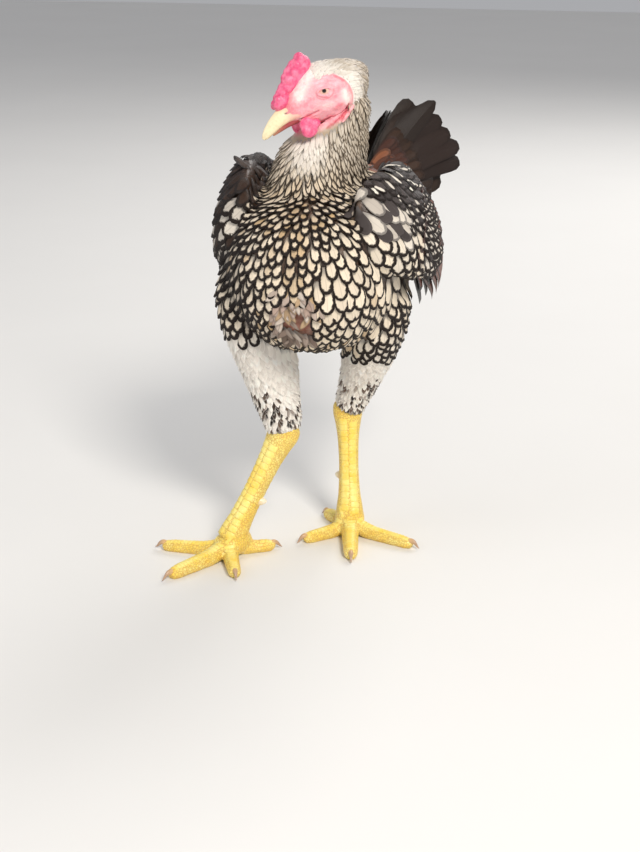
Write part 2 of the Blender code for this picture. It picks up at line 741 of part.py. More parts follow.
def wing(side, *neighbours):
    """A folded wing: its body with four tiers of feathers lapped like shingles."""
    made = wing_core(side)
    skin = BVHTree.FromObject(made, bpy.context.evaluated_depsgraph_get())
    out = Vector((side * math.cos(WING_LEAN), 0, math.sin(WING_LEAN)))
    vanes = []
    for tier in WING_TIERS:
        (y0, z0), (y1, z1) = tier["roots"]
        (v0, w0), (v1, w1) = tier["tips"]
        for n in range(tier["count"]):
            t = n / (tier["count"] - 1)
            y, z = y0 + (y1 - y0) * t, z0 + (z1 - z0) * t
            rise = WING_SET[side][1] * max(0.0, min(1.0, (0.14 - y) / 0.22))
            z += rise
            hit = skin.ray_cast(Vector((side * 0.3, y, z)), Vector((-side, 0, 0)))[0]
            root = hit - out * (0.0016 - tier["lift"] * 0.45)
            run = v0 + (v1 - v0) * t - y
            taper = 0.130 * run + 0.0035 * t
            tip = Vector((hit.x - side * (taper - tier["lift"]), y + run, w0 + (w1 - w0) * t + rise * 0.4))
            tip += out * 0.0022 * t
            turned = Matrix.Rotation(side * math.radians(tier["turn"]), 3, (tip - root).normalized())
            vanes.append(vane("vane", root, tip, turned @ out, tier["width"], bend=0.020, steps=3))
    fuse(made, vanes)
    return clear_of(made, *neighbours, solvers=("MANIFOLD",))


def tail_ways():
    """The tail's way back and the way to its own left, both level."""
    back = Vector((math.sin(TAIL_YAW), math.cos(TAIL_YAW), 0))
    return back, Vector((back.y, -back.x, 0))


def tail(*neighbours):
    """The tail: a stub, main feathers in two slopes like a tent, arched sickles and coverts over the root."""
    back, left = tail_ways()
    up = Vector((0, 0, 1))
    rows = [
        (*(TAIL_ROOT - back * 0.020), 0, 0, 1, 0.020, 0.019, 0.022),
        (*(TAIL_ROOT + back * 0.002 + up * 0.003), 0, 0, 1, 0.021, 0.021, 0.022),
        (*(TAIL_ROOT + back * 0.022 + up * 0.010), 0, 0, 1, 0.0165, 0.017, 0.018),
        (*(TAIL_ROOT + back * 0.036 + up * 0.014), 0, 0, 1, 0.0080, 0.009, 0.009),
    ]
    made = object_from("tail", loft("tail", rows, 14, 9), BLACK)
    vanes = []
    for side in (1, -1):
        for n in range(TAIL_PAIRS):
            t = n / (TAIL_PAIRS - 1)
            rise = TAIL_RISE[0] + (TAIL_RISE[1] - TAIL_RISE[0]) * t
            spread = math.radians(3 + 15 * t) * (1.0 if side > 0 else -0.5)
            way = (back * math.cos(spread) + left * math.sin(spread)) * math.cos(rise) + up * math.sin(rise)
            root = (TAIL_ROOT + back * (0.010 + 0.006 * t) + up * (0.016 - 0.020 * t)
                    + left * side * (0.0035 + 0.0085 * math.sin(math.pi * (0.15 + 0.55 * t))))
            length = TAIL_LENGTH[0] + (TAIL_LENGTH[1] - TAIL_LENGTH[0]) * t
            slope = Vector(left * side + up * (0.55 + 0.25 * t)).normalized()
            turned = Matrix.Rotation(side * math.radians(9), 3, way) @ slope
            vanes.append(vane("vane", root, root + way * length, turned, 0.021, bend=0.035, steps=4,
                              blunt=0.7))
        for n, (rise, length, drop, out_by) in enumerate(((64, 0.098, 0.22, 0.006), (54, 0.094, 0.30, 0.012))):
            way = (back * math.cos(math.radians(rise)) + up * math.sin(math.radians(rise))
                   + left * side * (0.10 + 0.10 * n)).normalized()
            root = TAIL_ROOT + back * (0.012 - 0.004 * n) + up * (0.020 - 0.005 * n) + left * side * out_by
            tip = root + way * length + back * 0.030 - up * (length * drop) + left * side * 0.006
            flat = Vector(left * side * 1.0 + up * 0.35 + back * 0.1)
            vanes.append(vane("vane", root, tip, flat, 0.0155, bend=0.03, steps=6, blunt=0.5,
                              sweep=-0.22 * side))
        for n in range(4):
            t = n / 3
            rise = math.radians(44 - 50 * t)
            spread = math.radians(16 + 16 * t) * side
            way = (back * math.cos(spread) + left * math.sin(spread)) * math.cos(rise) + up * math.sin(rise)
            root = (TAIL_ROOT - back * 0.006 + up * (0.013 - 0.021 * t)
                    + left * side * (0.0090 + 0.0085 * math.sin(math.pi * (0.10 + 0.6 * t))))
            slope = Vector(left * side + up * (0.60 - 0.30 * t)).normalized()
            turned = Matrix.Rotation(side * math.radians(10), 3, way) @ slope
            vanes.append(vane("vane", root, root + way * 0.052, turned, 0.017, bend=0.05, steps=3))
    fuse(made, vanes)
    return clear_of(made, *neighbours, solvers=("MANIFOLD",))


def centre_on_footprint():
    """Moves the whole bird so that the middle of its outline on the floor is the origin."""
    points = [vert.co for thing in BIRD.objects for vert in thing.data.vertices]
    middle = [(min(p[k] for p in points) + max(p[k] for p in points)) / 2 for k in range(2)]
    for thing in BIRD.objects:
        thing.data.transform(Matrix.Translation((-middle[0], -middle[1], 0)))


def build():
    """Makes every sub-part, each cut back to a small gap from those that it meets."""
    trunk = torso()
    eyes = [eye(1), eye(-1)]
    skull = head(eyes)
    upper = beak_upper(skull)
    lower = beak_lower(skull, upper)
    comb(skull, upper)
    hackle = neck(trunk, skull, lower)
    for side in (1, -1):
        wattle(side, skull, lower, hackle)
        earlobe(side, skull, hackle)
    thighs = []
    for name, leg in LEGS.items():
        pad = foot_pad(name, leg)
        drumstick = thigh(name, leg, trunk, *thighs)
        thighs.append(drumstick)
        stem = shank(name, leg, drumstick, pad)
        spur(name, leg, stem)
        done = [pad, stem]
        for toe_name in leg["toes"]:
            made = toe(name, leg, toe_name, *done)
            claw(name, leg, toe_name, made)
            done.append(made)
    wings = [wing(1, trunk, thighs[0], hackle), wing(-1, trunk, thighs[1], hackle)]
    tail(trunk, *wings)
    centre_on_footprint()
    for thing in list(WORK.objects):
        bpy.data.objects.remove(thing)
    bpy.data.collections.remove(WORK)


build()
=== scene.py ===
"""Looks for the standing game cock: one skin, its feather coats, bare head, scaled legs and studio.

Everything is drawn in the bird's own frame: it faces -Y, its left is +X, the floor is z = 0, metres.
give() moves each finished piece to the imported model's frame.
"""

import math
import random

import bmesh
import bpy
import numpy as np
from mathutils import Matrix, Vector, kdtree, noise
from mathutils.bvhtree import BVHTree


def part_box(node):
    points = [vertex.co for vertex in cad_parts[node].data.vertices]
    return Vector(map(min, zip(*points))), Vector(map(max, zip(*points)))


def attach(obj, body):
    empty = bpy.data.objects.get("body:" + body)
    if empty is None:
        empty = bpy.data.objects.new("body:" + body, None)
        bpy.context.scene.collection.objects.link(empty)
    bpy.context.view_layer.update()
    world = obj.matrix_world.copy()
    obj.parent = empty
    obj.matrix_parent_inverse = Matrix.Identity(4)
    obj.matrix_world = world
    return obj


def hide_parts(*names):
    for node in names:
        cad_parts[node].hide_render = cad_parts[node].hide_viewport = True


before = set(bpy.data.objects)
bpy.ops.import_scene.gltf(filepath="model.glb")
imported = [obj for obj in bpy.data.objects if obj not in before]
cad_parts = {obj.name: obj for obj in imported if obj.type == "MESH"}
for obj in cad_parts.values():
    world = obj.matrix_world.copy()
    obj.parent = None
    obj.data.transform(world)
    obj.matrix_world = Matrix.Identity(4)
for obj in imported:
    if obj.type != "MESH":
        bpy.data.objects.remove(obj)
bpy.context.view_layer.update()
random.seed(5)
bpy.ops.object.select_all(action="DESELECT")

# The head's place and turn, and the parts of the face in its own frame
EYE_HEIGHT = 0.4388
HEAD_AT = Vector((0.0116, -0.0437, EYE_HEIGHT - 0.0016))
HEAD_TURN = (Matrix.Translation(HEAD_AT) @ Matrix.Rotation(math.radians(-56), 4, "Z")
             @ Matrix.Rotation(math.radians(21), 4, "X"))
HEAD_IN = HEAD_TURN.inverted()
EYE_AT = Vector((0.0183, -0.006, 0.004))
EYE_RADIUS = 0.0068
BEAK_TIP = Vector((0, -0.0665, -0.0175))
NOSTRIL = (0.0078, -0.0412, -0.0028)
KEEL_PATCH = Vector((0.0030, -0.1050, 0.2540))
THROAT = Vector((0.0015, -0.0650, 0.3960))

# Where the bird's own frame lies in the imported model
EYE_LOW, EYE_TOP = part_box("eye_left")
EYE_MIDDLE = HEAD_TURN @ Vector((EYE_AT.x - 0.0036, EYE_AT.y, EYE_AT.z))
SHIFT = (Vector(EYE_LOW) + Vector(EYE_TOP)) / 2 - EYE_MIDDLE
SHIFT.z = 0.0

# Plumage colours
CREAM = (0.92, 0.81, 0.65)
IVORY = (0.92, 0.86, 0.76)
BUFF = (0.62, 0.40, 0.17)
ASH = (0.40, 0.35, 0.31)
SLATE = (0.075, 0.062, 0.060)
INK = (0.014, 0.008, 0.006)
SEPIA = (0.045, 0.024, 0.015)
MAHOGANY = (0.13, 0.036, 0.020)
RUST = (0.27, 0.085, 0.034)
SNOW = (0.94, 0.89, 0.82)
DUSK = (0.14, 0.095, 0.070)
KHAKI = (0.46, 0.37, 0.26)
PINK = (0.94, 0.42, 0.47)
BLUSH = (0.97, 0.78, 0.74)
CREASE_SHADE_RED = (0.58, 0.055, 0.095)

LEGS = {
    "left": {
        "side": 1, "hock": Vector((0.0127, 0.0480, 0.1200)), "foot": Vector((0.0201, 0.0270, 0.0190)),
        "heading": math.radians(14), "thigh": Vector((-0.036, 0.046, -0.170)),
        "toes": {"middle": (0, 1.0), "outer": (55, 1.02), "inner": (-58, 0.74), "hind": (-146, 0.56)},
    },
    "right": {
        "side": -1, "hock": Vector((-0.0295, -0.0331, 0.1195)), "foot": Vector((-0.0742, -0.0597, 0.0190)),
        "heading": math.radians(-29), "thigh": Vector((0.016, 0.006, -0.170)),
        "toes": {"middle": (0, 1.06), "outer": (62, 0.93), "inner": (-52, 0.76), "hind": (-150, 0.54)},
    },
}
TOE_MIDDLE = 0.070
TOE_SINK = 0.0011
TOE_RISE = 0.0055
WING_LEAN = math.radians(16)
WING_SET = {1: (0.0, 0.0080, 0.0110), -1: (0.0075, 0.0120, 0.0050)}
TAIL_ROOT = Vector((0.004, 0.158, 0.306))
TAIL_YAW = math.radians(22)
HACKLE_TOP = 0.395
LINING_DEPTH = 0.0040
PATCH_SIDE = 0.003

# The grain of each soft form where its parts are run together
BODY_GRAIN = 0.0024
LEG_GRAIN = 0.0010
LOBE_GRAIN = 0.0006
COMB_GRAIN = 0.00050
HEAD_GRAIN = 0.00048

# How deep a feather's root sits under the envelope, and how far its tip stands off it
FLAT_LIE = (0.0034, 0.0010)
CELL_LIE = (0.0034, 0.0012)
BROAD_LIE = (0.0036, 0.0012)

# The photo's view, and the place that the lamps face
CAMERA_AT = Vector((0.3672, -1.4853, 0.6275))
VIEW_ROUND = math.radians(14.0)
VIEW_DOWN = math.radians(18.5)
LENS_MM = 71.8
SENSOR_MM = 36
LIT_PLACE = Vector((0, 0.03, 0.25))


def clamp(value):
    """A value kept from 0 to 1."""
    return max(0.0, min(1.0, value))


def link(thing):
    """Puts an object in the scene's own collection."""
    bpy.context.scene.collection.objects.link(thing)
    return thing


def give(thing, slot, *nodes):
    """Hands a finished piece over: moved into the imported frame, riding on the bird, standing for nodes."""
    thing.data.transform(Matrix.Translation(SHIFT))
    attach(thing, "root")
    if nodes:
        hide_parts(*nodes)
    return thing


def finish(name, colour, roughness, **more):
    """A material with its constants on the shader, and the wiring for its pattern."""
    made = bpy.data.materials.new(name)
    made.use_nodes = True
    shader = made.node_tree.nodes["Principled BSDF"]
    shader.inputs["Base Color"].default_value = (*colour, 1)
    shader.inputs["Roughness"].default_value = roughness
    for key, value in more.items():
        shader.inputs[key.replace("_", " ")].default_value = value
    return made, Wiring(made.node_tree, shader)


class Wiring:
    """Short calls for wiring a material's nodes."""

    def __init__(self, tree, shader):
        self.tree = tree
        self.shader = shader

    def node(self, kind, **values):
        """A new node with settings, and inputs given as in_0, in_Scale and so on."""
        made = self.tree.nodes.new(kind)
        for key, value in values.items():
            if key.startswith("in_"):
                slot = key[3:]
                target = made.inputs[int(slot)] if slot.isdigit() else made.inputs[slot]
                if hasattr(value, "is_linked"):
                    self.tree.links.new(value, target)
                else:
                    target.default_value = value
            else:
                setattr(made, key, value)
        return made

    def math(self, how, one, two=0.0, clamp=False):
        """A math node's result."""
        return self.node("ShaderNodeMath", operation=how, use_clamp=clamp, in_0=one, in_1=two).outputs[0]

    def spread(self, value, low, high):
        """0 below low, 1 above high and a smooth way between."""
        made = self.node("ShaderNodeMapRange", interpolation_type="SMOOTHSTEP",
                         in_0=value, in_1=low, in_2=high)
        return made.outputs[0]

    def mix(self, share, one, two, how="MIX"):
        """One colour turned into another by a share."""
        made = self.node("ShaderNodeMix", data_type="RGBA", blend_type=how)
        for slot, value in ((0, share), (6, one), (7, two)):
            if hasattr(value, "is_linked"):
                self.tree.links.new(value, made.inputs[slot])
            else:
                made.inputs[slot].default_value = value if slot == 0 else (*value, 1)
        return made.outputs[2]

    def where(self):
        """Each place's own coordinates."""
        return self.node("ShaderNodeTexCoord").outputs["Object"]

    def read(self, name, kind="Fac"):
        """The piece's own number or colour."""
        return self.node("ShaderNodeAttribute", attribute_name=name).outputs[kind]

    def paint(self, colour):
        """Puts a colour on the shader."""
        self.tree.links.new(colour, self.shader.inputs["Base Color"])

    def noise(self, where, scale, detail=3.0, rough=0.55):
        """A noise pattern's strength."""
        return self.node("ShaderNodeTexNoise", in_Vector=where, in_Scale=scale, in_Detail=detail,
                         in_Roughness=rough).outputs[0]

    def bump(self, height, strength, distance):
        """Puts a fine relief on the shader."""
        made = self.node("ShaderNodeBump", in_Strength=strength, in_Distance=distance, in_Height=height)
        self.tree.links.new(made.outputs[0], self.shader.inputs["Normal"])


def vane_finish(name, roughness, streak=0.0, specular=0.5, root=(0.20, 0.18, 0.17)):
    """A feather's finish: its own fill and edge colours, laced by the distance from its rim, with barbs."""
    made, w = finish(name, CREAM, roughness, Specular_IOR_Level=specular)
    fill = w.read("fill", "Color")
    edge = w.read("edge", "Color")
    rim = w.read("rim")
    place = w.node("ShaderNodeUVMap", uv_map="vane").outputs[0]
    apart = w.node("ShaderNodeSeparateXYZ", in_0=place)
    u, v = apart.outputs[0], apart.outputs[1]
    where = w.where()
    ragged = w.noise(where, 900.0, 2.0)
    off = w.math("ABSOLUTE", w.math("SUBTRACT", u, 0.5))
    slope = w.math("ADD", w.math("MULTIPLY", v, 17.0), w.math("MULTIPLY", off, -9.0))
    barbs = w.math("SINE", w.math("MULTIPLY", slope, 22.0))
    soft = w.noise(w.node("ShaderNodeMapping", in_0=place, in_3=(2.0, 26.0, 1.0)).outputs[0], 3.0, 3.0)
    shade = w.math("ADD", w.math("MULTIPLY", soft, 0.36), w.math("MULTIPLY", barbs, 0.030))
    browned = w.mix(1.0, fill, (0.60, 0.50, 0.40), "MULTIPLY")
    tinted = w.mix(w.math("ADD", shade, 0.02, clamp=True), fill, browned)
    frayed = w.math("ADD", rim, w.math("MULTIPLY", w.math("SUBTRACT", ragged, 0.5), 0.75))
    inside = w.spread(frayed, 0.72, 1.28)
    laced = w.mix(inside, edge, tinted)
    shaft = w.math("SUBTRACT", 1.0, w.spread(off, 0.012, 0.045 + streak))
    lined = w.mix(w.math("MULTIPLY", shaft, 0.16 + 2.4 * streak, clamp=True), laced, edge)
    base = w.mix(w.spread(v, 0.10, 0.42), w.mix(0.65, fill, root), lined)
    w.paint(base)
    height = w.math("ADD", w.math("MULTIPLY", barbs, 0.5), w.math("MULTIPLY", shaft, 1.2))
    w.bump(height, 0.5, 0.00022)
    return made


LACED = vane_finish("laced_plumage", 0.60, specular=0.25)
HACKLE = vane_finish("streaked_hackle", 0.58, streak=0.05, specular=0.25)
DARK = vane_finish("dark_plumage", 0.46, specular=0.30, root=(0.035, 0.028, 0.026))
GLOSSY = vane_finish("black_tail_plumage", 0.44, specular=0.24, root=(0.030, 0.022, 0.018))


def eased(rows, count):
    """Rows of equal length read along a smooth curve through them, count in all."""
    last = len(rows) - 1
    found = []
    for step in range(count):
        place = step / (count - 1) * last
        i = min(int(place), last - 1)
        t = place - i
        before, here, there, after = (rows[max(0, min(last, i + k))] for k in (-1, 0, 1, 2))
        found.append([
            0.5 * (2 * b + (c - a) * t + (2 * a - 5 * b + 4 * c - d) * t * t
                   + (3 * b - a - 3 * c + d) * t * t * t)
            for a, b, c, d in zip(before, here, there, after, strict=True)
        ])
    return found


def loft(name, rows, sides, rings, square=2.0):
    """A closed skin over unlike oval rings: middle, up, half width, half up, half down."""
    rows = eased(rows, rings)
    form = bmesh.new()
    hoops = []
    for n, row in enumerate(rows):
        middle = Vector(row[0:3])
        ahead = (Vector(rows[min(n + 1, len(rows) - 1)][0:3]) - Vector(rows[max(n - 1, 0)][0:3])).normalized()
        up = Vector(row[3:6])
        up = (up - ahead * up.dot(ahead)).normalized()
        across = up.cross(ahead)
        wide, high, low = (max(value, 0.0003) for value in row[6:9])
        hoop = []
        for k in range(sides):
            angle = 2 * math.pi * k / sides
            c, s = math.cos(angle), math.sin(angle)
            reach = (abs(c) ** square + abs(s) ** square) ** (-1 / square)
            tall = high if s > 0 else low
            hoop.append(form.verts.new(middle + across * (c * wide * reach) + up * (s * tall * reach)))
        hoops.append(hoop)
    for one, two in zip(hoops, hoops[1:], strict=False):
        for k in range(sides):
            form.faces.new((one[k], one[(k + 1) % sides], two[(k + 1) % sides], two[k]))
    for hoop in (hoops[0], hoops[-1]):
        form.faces.new(hoop)
    bmesh.ops.recalc_face_normals(form, faces=form.faces)
    mesh = bpy.data.meshes.new(name)
    form.to_mesh(mesh)
    form.free()
    return link(bpy.data.objects.new(name, mesh))


def along_y(rows):
    """Rows (y, z, half width, half up, half down) as loft rows along Y, with +Z up."""
    return [(0, y, z, 0, 0, 1, wide, high, low) for y, z, wide, high, low in rows]


def only(thing):
    """Selects one object and makes it the active one."""
    bpy.ops.object.select_all(action="DESELECT")
    thing.select_set(True)
    bpy.context.view_layer.objects.active = thing


def joined(name, things):
    """One object of several."""
    bpy.ops.object.select_all(action="DESELECT")
    for thing in things:
        thing.select_set(True)
    bpy.context.view_layer.objects.active = things[0]
    bpy.ops.object.join()
    made = things[0]
    made.name = name
    bpy.ops.object.transform_apply(location=True, rotation=True, scale=True)
    return made


def applied(thing, kind, **settings):
    """Puts a modifier on the active thing and applies it."""
    step = thing.modifiers.new(kind.lower(), kind)
    for key, value in settings.items():
        setattr(step, key, value)
    bpy.ops.object.modifier_apply(modifier=step.name)


def fused(thing, voxel, smooth):
    """Makes a thing's overlapping shells one even surface, smoothed."""
    only(thing)
    applied(thing, "REMESH", mode="VOXEL", voxel_size=voxel)
    applied(thing, "SMOOTH", factor=0.5, iterations=smooth)


def hand_over(thing, material, slot, *nodes, in_head=False):
    """Smooths a finished form and hands it over with its material, out of the head's frame if it is in it."""
    if in_head:
        thing.data.transform(HEAD_TURN)
    thing.data.shade_smooth()
    thing.data.materials.append(material)
    give(thing, slot, *nodes)


def points_of(thing):
    """A mesh's points and point normals as arrays."""
    mesh = thing.data
    count = len(mesh.vertices)
    places, normals = np.empty(count * 3), np.empty(count * 3)
    mesh.vertices.foreach_get("co", places)
    mesh.vertex_normals.foreach_get("vector", normals)
    return places.reshape(-1, 3), normals.reshape(-1, 3)


def set_points(thing, places):
    """Puts a mesh's points at new places."""
    thing.data.vertices.foreach_set("co", np.ascontiguousarray(places, dtype=np.float32).ravel())
    thing.data.update()


def bell(places, middle, sizes):
    """A soft bump's strength at each place, 1 in the middle and near 0 at its half sizes."""
    off = (places - np.array(middle)) / np.array(sizes)
    return np.exp(-1.6 * (off * off).sum(1))


def surface_of(thing):
    """A tree of a mesh for finding its nearest place."""
    return BVHTree.FromObject(thing, bpy.context.evaluated_depsgraph_get())


def tint(thing, name, colours):
    """A colour for each point of a mesh."""
    layer = thing.data.color_attributes.new(name, "FLOAT_COLOR", "POINT")
    full = np.ones((len(thing.data.vertices), 4), dtype=np.float32)
    full[:, :3] = colours
    layer.data.foreach_set("color", full.ravel())


def gauge(thing, name, values):
    """A number for each point of a mesh."""
    layer = thing.data.attributes.new(name, "FLOAT", "POINT")
    layer.data.foreach_set("value", np.ascontiguousarray(values, dtype=np.float32))


def cad_copy(node, swell=0.0006):
    """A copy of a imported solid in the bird's own frame, welded and a little swollen."""
    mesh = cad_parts[node].data.copy()
    mesh.transform(Matrix.Translation(-SHIFT))
    form = bmesh.new()
    form.from_mesh(mesh)
    bmesh.ops.remove_doubles(form, verts=form.verts, dist=1e-5)
    form.normal_update()
    for vert in form.verts:
        vert.co += vert.normal * swell
    form.to_mesh(mesh)
    form.free()
    mesh.materials.clear()
    return link(bpy.data.objects.new(f"{node}_copy", mesh))


def front_share(y):
    """How far a wing is set over at a place along it: 0 at its tips, 1 at its front."""
    return clamp((0.14 - y) / 0.22)


def wing_core(side):
    """The folded wing's body without its long feathers."""
    levels = [
        (0.058, -0.086, 0.326, 0.006, 0.014), (0.066, -0.078, 0.326, 0.013, 0.034),
        (0.073, -0.052, 0.322, 0.018, 0.048), (0.078, -0.012, 0.314, 0.0195, 0.054),
        (0.0785, 0.032, 0.303, 0.0205, 0.051), (0.0745, 0.074, 0.291, 0.0200, 0.042),
        (0.0680, 0.112, 0.279, 0.0160, 0.028), (0.0610, 0.134, 0.272, 0.0070, 0.013),
    ]
    lean = Vector((-side * math.sin(WING_LEAN), 0, math.cos(WING_LEAN)))
    inward, upward, fore = WING_SET[side]
    rows = []
    for x, y, z, thick, tall in levels:
        share = front_share(y)
        ahead = clamp((-0.045 - y) / 0.040)
        across = side * (x - inward * share - fore * ahead)
        rows.append((across, y, z + upward * share, *lean, thick, tall, tall))
    return loft(f"wing_core_{side}", rows, 32, 40)


def nape_pad():
    """The fullness between the back of the skull and the neck."""
    bpy.ops.mesh.primitive_uv_sphere_add(segments=32, ring_count=20, radius=1.0)
    pad = bpy.context.object
    pad.data.transform(HEAD_TURN @ Matrix.Translation((0, 0.0200, -0.0220))
                       @ Matrix.Diagonal((0.019, 0.014, 0.020, 1)))
    return pad


# The envelope that the coat's tips reach, and which part of the body each place of it belongs to
PARTS = ("torso", "neck", "thigh_left", "thigh_right")
cores = {1: wing_core(1), -1: wing_core(-1)}
TREES = {part: surface_of(cad_copy(part)) for part in PARTS}
TREES["wing_left"] = surface_of(cores[1])
TREES["wing_right"] = surface_of(cores[-1])
envelope = joined("envelope", [bpy.data.objects[f"{part}_copy"] for part in PARTS] + list(cores.values())
                  + [nape_pad()])
fused(envelope, BODY_GRAIN, 12)
ENVELOPE = surface_of(envelope)


def part_at(place):
    """The part of the body that a place belongs to."""
    return min(TREES, key=lambda name: TREES[name].find_nearest(place)[3])


def lies(part, place):
    """The way that feathers point at a place, before they are laid on the surface."""
    if part == "neck":
        return Vector((-0.02 + 7.0 * (place.x - 0.010) * step_up(-place.z, -0.385, -0.345), 0.12, -1.0))
    if part.startswith("thigh"):
        return LEGS[part.removeprefix("thigh_")]["thigh"] + Vector((0, 0.05, 0))
    if part.startswith("wing"):
        side = 1 if part == "wing_left" else -1
        ahead = step_up(-place.y, -0.004, 0.060)
        low = 1 - step_up(place.z, 0.296, 0.340)
        return Vector((0.10 * side, 1.0, -0.30)).lerp(Vector((0.95 * side, -0.05, -0.50 - 1.9 * low)), ahead)
    ahead = step_up(-place.y, -0.070, 0.030)
    outward = (math.copysign(2.6, place.x) * step_up(abs(place.x), 0.024, 0.048)
               * step_up(place.z, 0.275, 0.310))
    return Vector((outward * ahead, 1.0, -0.22 - 6.0 * ahead))


def blend(one, two, share):
    """A colour between two."""
    return tuple(a + (b - a) * share for a, b in zip(one, two, strict=True))


def varied(colour, by):
    """A colour made a little lighter or darker."""
    k = 1 + random.uniform(-by, by)
    return tuple(min(1.0, c * k) for c in colour)


def step_up(value, low, high):
    """0 below low, 1 above high and a smooth way between."""
    t = clamp((value - low) / (high - low))
    return t * t * (3 - 2 * t)


def bare(spot):
    """How bare the head is at a place in its own frame, 1 on the face and 0 on the crown and throat."""
    side = ((spot.y + 0.003) / 0.0195) ** 2 + ((spot.z + 0.0055) / 0.0226) ** 2
    band = 0.0160 + 0.45 * (spot.y + 0.0142)
    under = max(step_up(band - spot.z, -0.0010, 0.0015), step_up(-spot.y, 0.0080, 0.0120))
    front = step_up(-spot.y, 0.004, 0.010) * under * step_up(spot.z, -0.031, -0.026)
    return max(front, 1 - step_up(side, 0.90, 1.08))


def neck_coat(place):
    """The hackle: laced cells at its foot, narrow and pale towards the head, white on the throat."""
    high = step_up(place.z, 0.352, 0.405)
    foot = 1 - step_up(place.z, 0.325, 0.365)
    width = 0.0066 - 0.0028 * high + 0.0022 * foot
    length = 0.0185 - 0.0045 * high
    pale = math.exp(-((place.x - 0.010) / 0.026) ** 2) * step_up(-place.y, 0.030, 0.050)
    fill = blend(CREAM, BUFF, random.uniform(0, 0.45))
    fill = blend(fill, blend(IVORY, KHAKI, random.uniform(0, 0.45)), high)
    fill = blend(fill, KHAKI, 0.50 * high * (1 - pale))
    edge = blend(INK, blend(SEPIA, KHAKI, 0.35), high)
    throat = math.exp(-((place - THROAT).length / 0.0165) ** 4)
    fill, edge = blend(fill, SNOW, throat), blend(edge, IVORY, throat)
    lace = (0.0013 - 0.00085 * high) * (1 - 0.5 * throat)
    return "hackle" if place.z > 0.345 else "laced", width, length, 0.0032, 0.0006, fill, edge, lace


def thigh_coat(part, place):
    """Laced scales above, and below the hem short white feathers with dark flecks over the hock."""
    hem = 0.192 if part == "thigh_left" else 0.227
    if place.z > hem + random.uniform(-0.003, 0.003):
        high = step_up(place.z, hem, 0.245)
        return "laced", 0.0106 + 0.0008 * high, 0.0175, 0.0032, 0.0014, blend(IVORY, CREAM, high), INK, 0.0017
    high = step_up(place.z, 0.122, hem)
    fill = varied(SNOW, 0.04)
    if random.random() < 0.42 * (1 - step_up(place.z, 0.150, 0.176)):
        fill = random.choice((SEPIA, INK, ASH, DUSK))
    length = 0.0095 + 0.0070 * high + 0.0060 * (1 - step_up(place.z, 0.118, 0.128))
    return "down", 0.0040 + 0.0036 * high, length, 0.0022, 0.0006, fill, blend(fill, SNOW, 0.3), 0.0005


def wing_coat(part, place):
    """The wing's bow: slate above with pale ovals, big grey and cream cells ahead, mahogany behind; the right
    wing's cells are greyer, partly their own grey and partly painted shade.
    """
    y, z = place.y, place.z
    if y > 0.022 + random.uniform(-0.010, 0.010):
        fill = varied(MAHOGANY if random.random() < 0.75 else RUST, 0.25)
        return "dark", 0.0115, 0.023, *FLAT_LIE, fill, INK, 0.0010
    # The right wing's cells are greyed towards ASH more than the left's: partly their own grey, partly
    # painted shade
    if part == "wing_right":
        if z > 0.352:
            return "dark", 0.0105, 0.022, *FLAT_LIE, varied(SEPIA, 0.3), INK, 0.0012
        if z > 0.316 and y < -0.030:
            pale = random.random() < 0.55
            fill = blend(ASH, IVORY, random.uniform(0.4, 0.9)) if pale else varied(SEPIA, 0.3)
            return "laced", 0.0145, 0.0240, *BROAD_LIE, fill, INK, 0.0018
        fill = blend(IVORY, ASH, random.uniform(0.0, 0.8))
        return "laced", 0.0098, 0.0190, *CELL_LIE, fill, INK, 0.0026
    if z > 0.3590 - 0.20 * (y + 0.075):
        streak = random.random() < 0.20
        fill, width = (IVORY, 0.0060) if streak else (varied(SLATE, 0.3), 0.0092)
        return "dark", width, 0.0200, *FLAT_LIE, fill, INK, 0.0012
    if y < -0.058 and z > 0.329:
        pale = random.random() < 0.80
        fill = blend(ASH, IVORY, random.uniform(0.35, 1.0)) if pale else varied(SLATE, 0.3)
        return "laced", 0.0118, 0.0270, 0.0036, 0.0016, fill, blend(fill, SLATE, 0.75), 0.0009
    if y < -0.030 and z < 0.329:
        return "laced", 0.0130, 0.0225, *BROAD_LIE, blend(CREAM, IVORY, random.uniform(0, 0.6)), INK, 0.0016
    if z > 0.298:
        if random.random() < 0.16:
            return "dark", 0.0092, 0.0200, *FLAT_LIE, varied(SLATE, 0.3), INK, 0.0012
        fill = blend(IVORY, ASH, 0.4 * random.random())
        return "laced", 0.0080, 0.0185, *CELL_LIE, fill, INK, 0.0022
    fill = blend(IVORY, ASH, 0.25 * random.random())
    return "laced", 0.0100, 0.0190, *CELL_LIE, fill, INK, 0.0021


def keel_patch(place):
    """How near a place is to the bare keel, 1 in its middle."""
    off = place - KEEL_PATCH
    return math.exp(-((off.x / 0.017) ** 2 + (off.z / 0.026) ** 2 + (off.y / 0.05) ** 2))


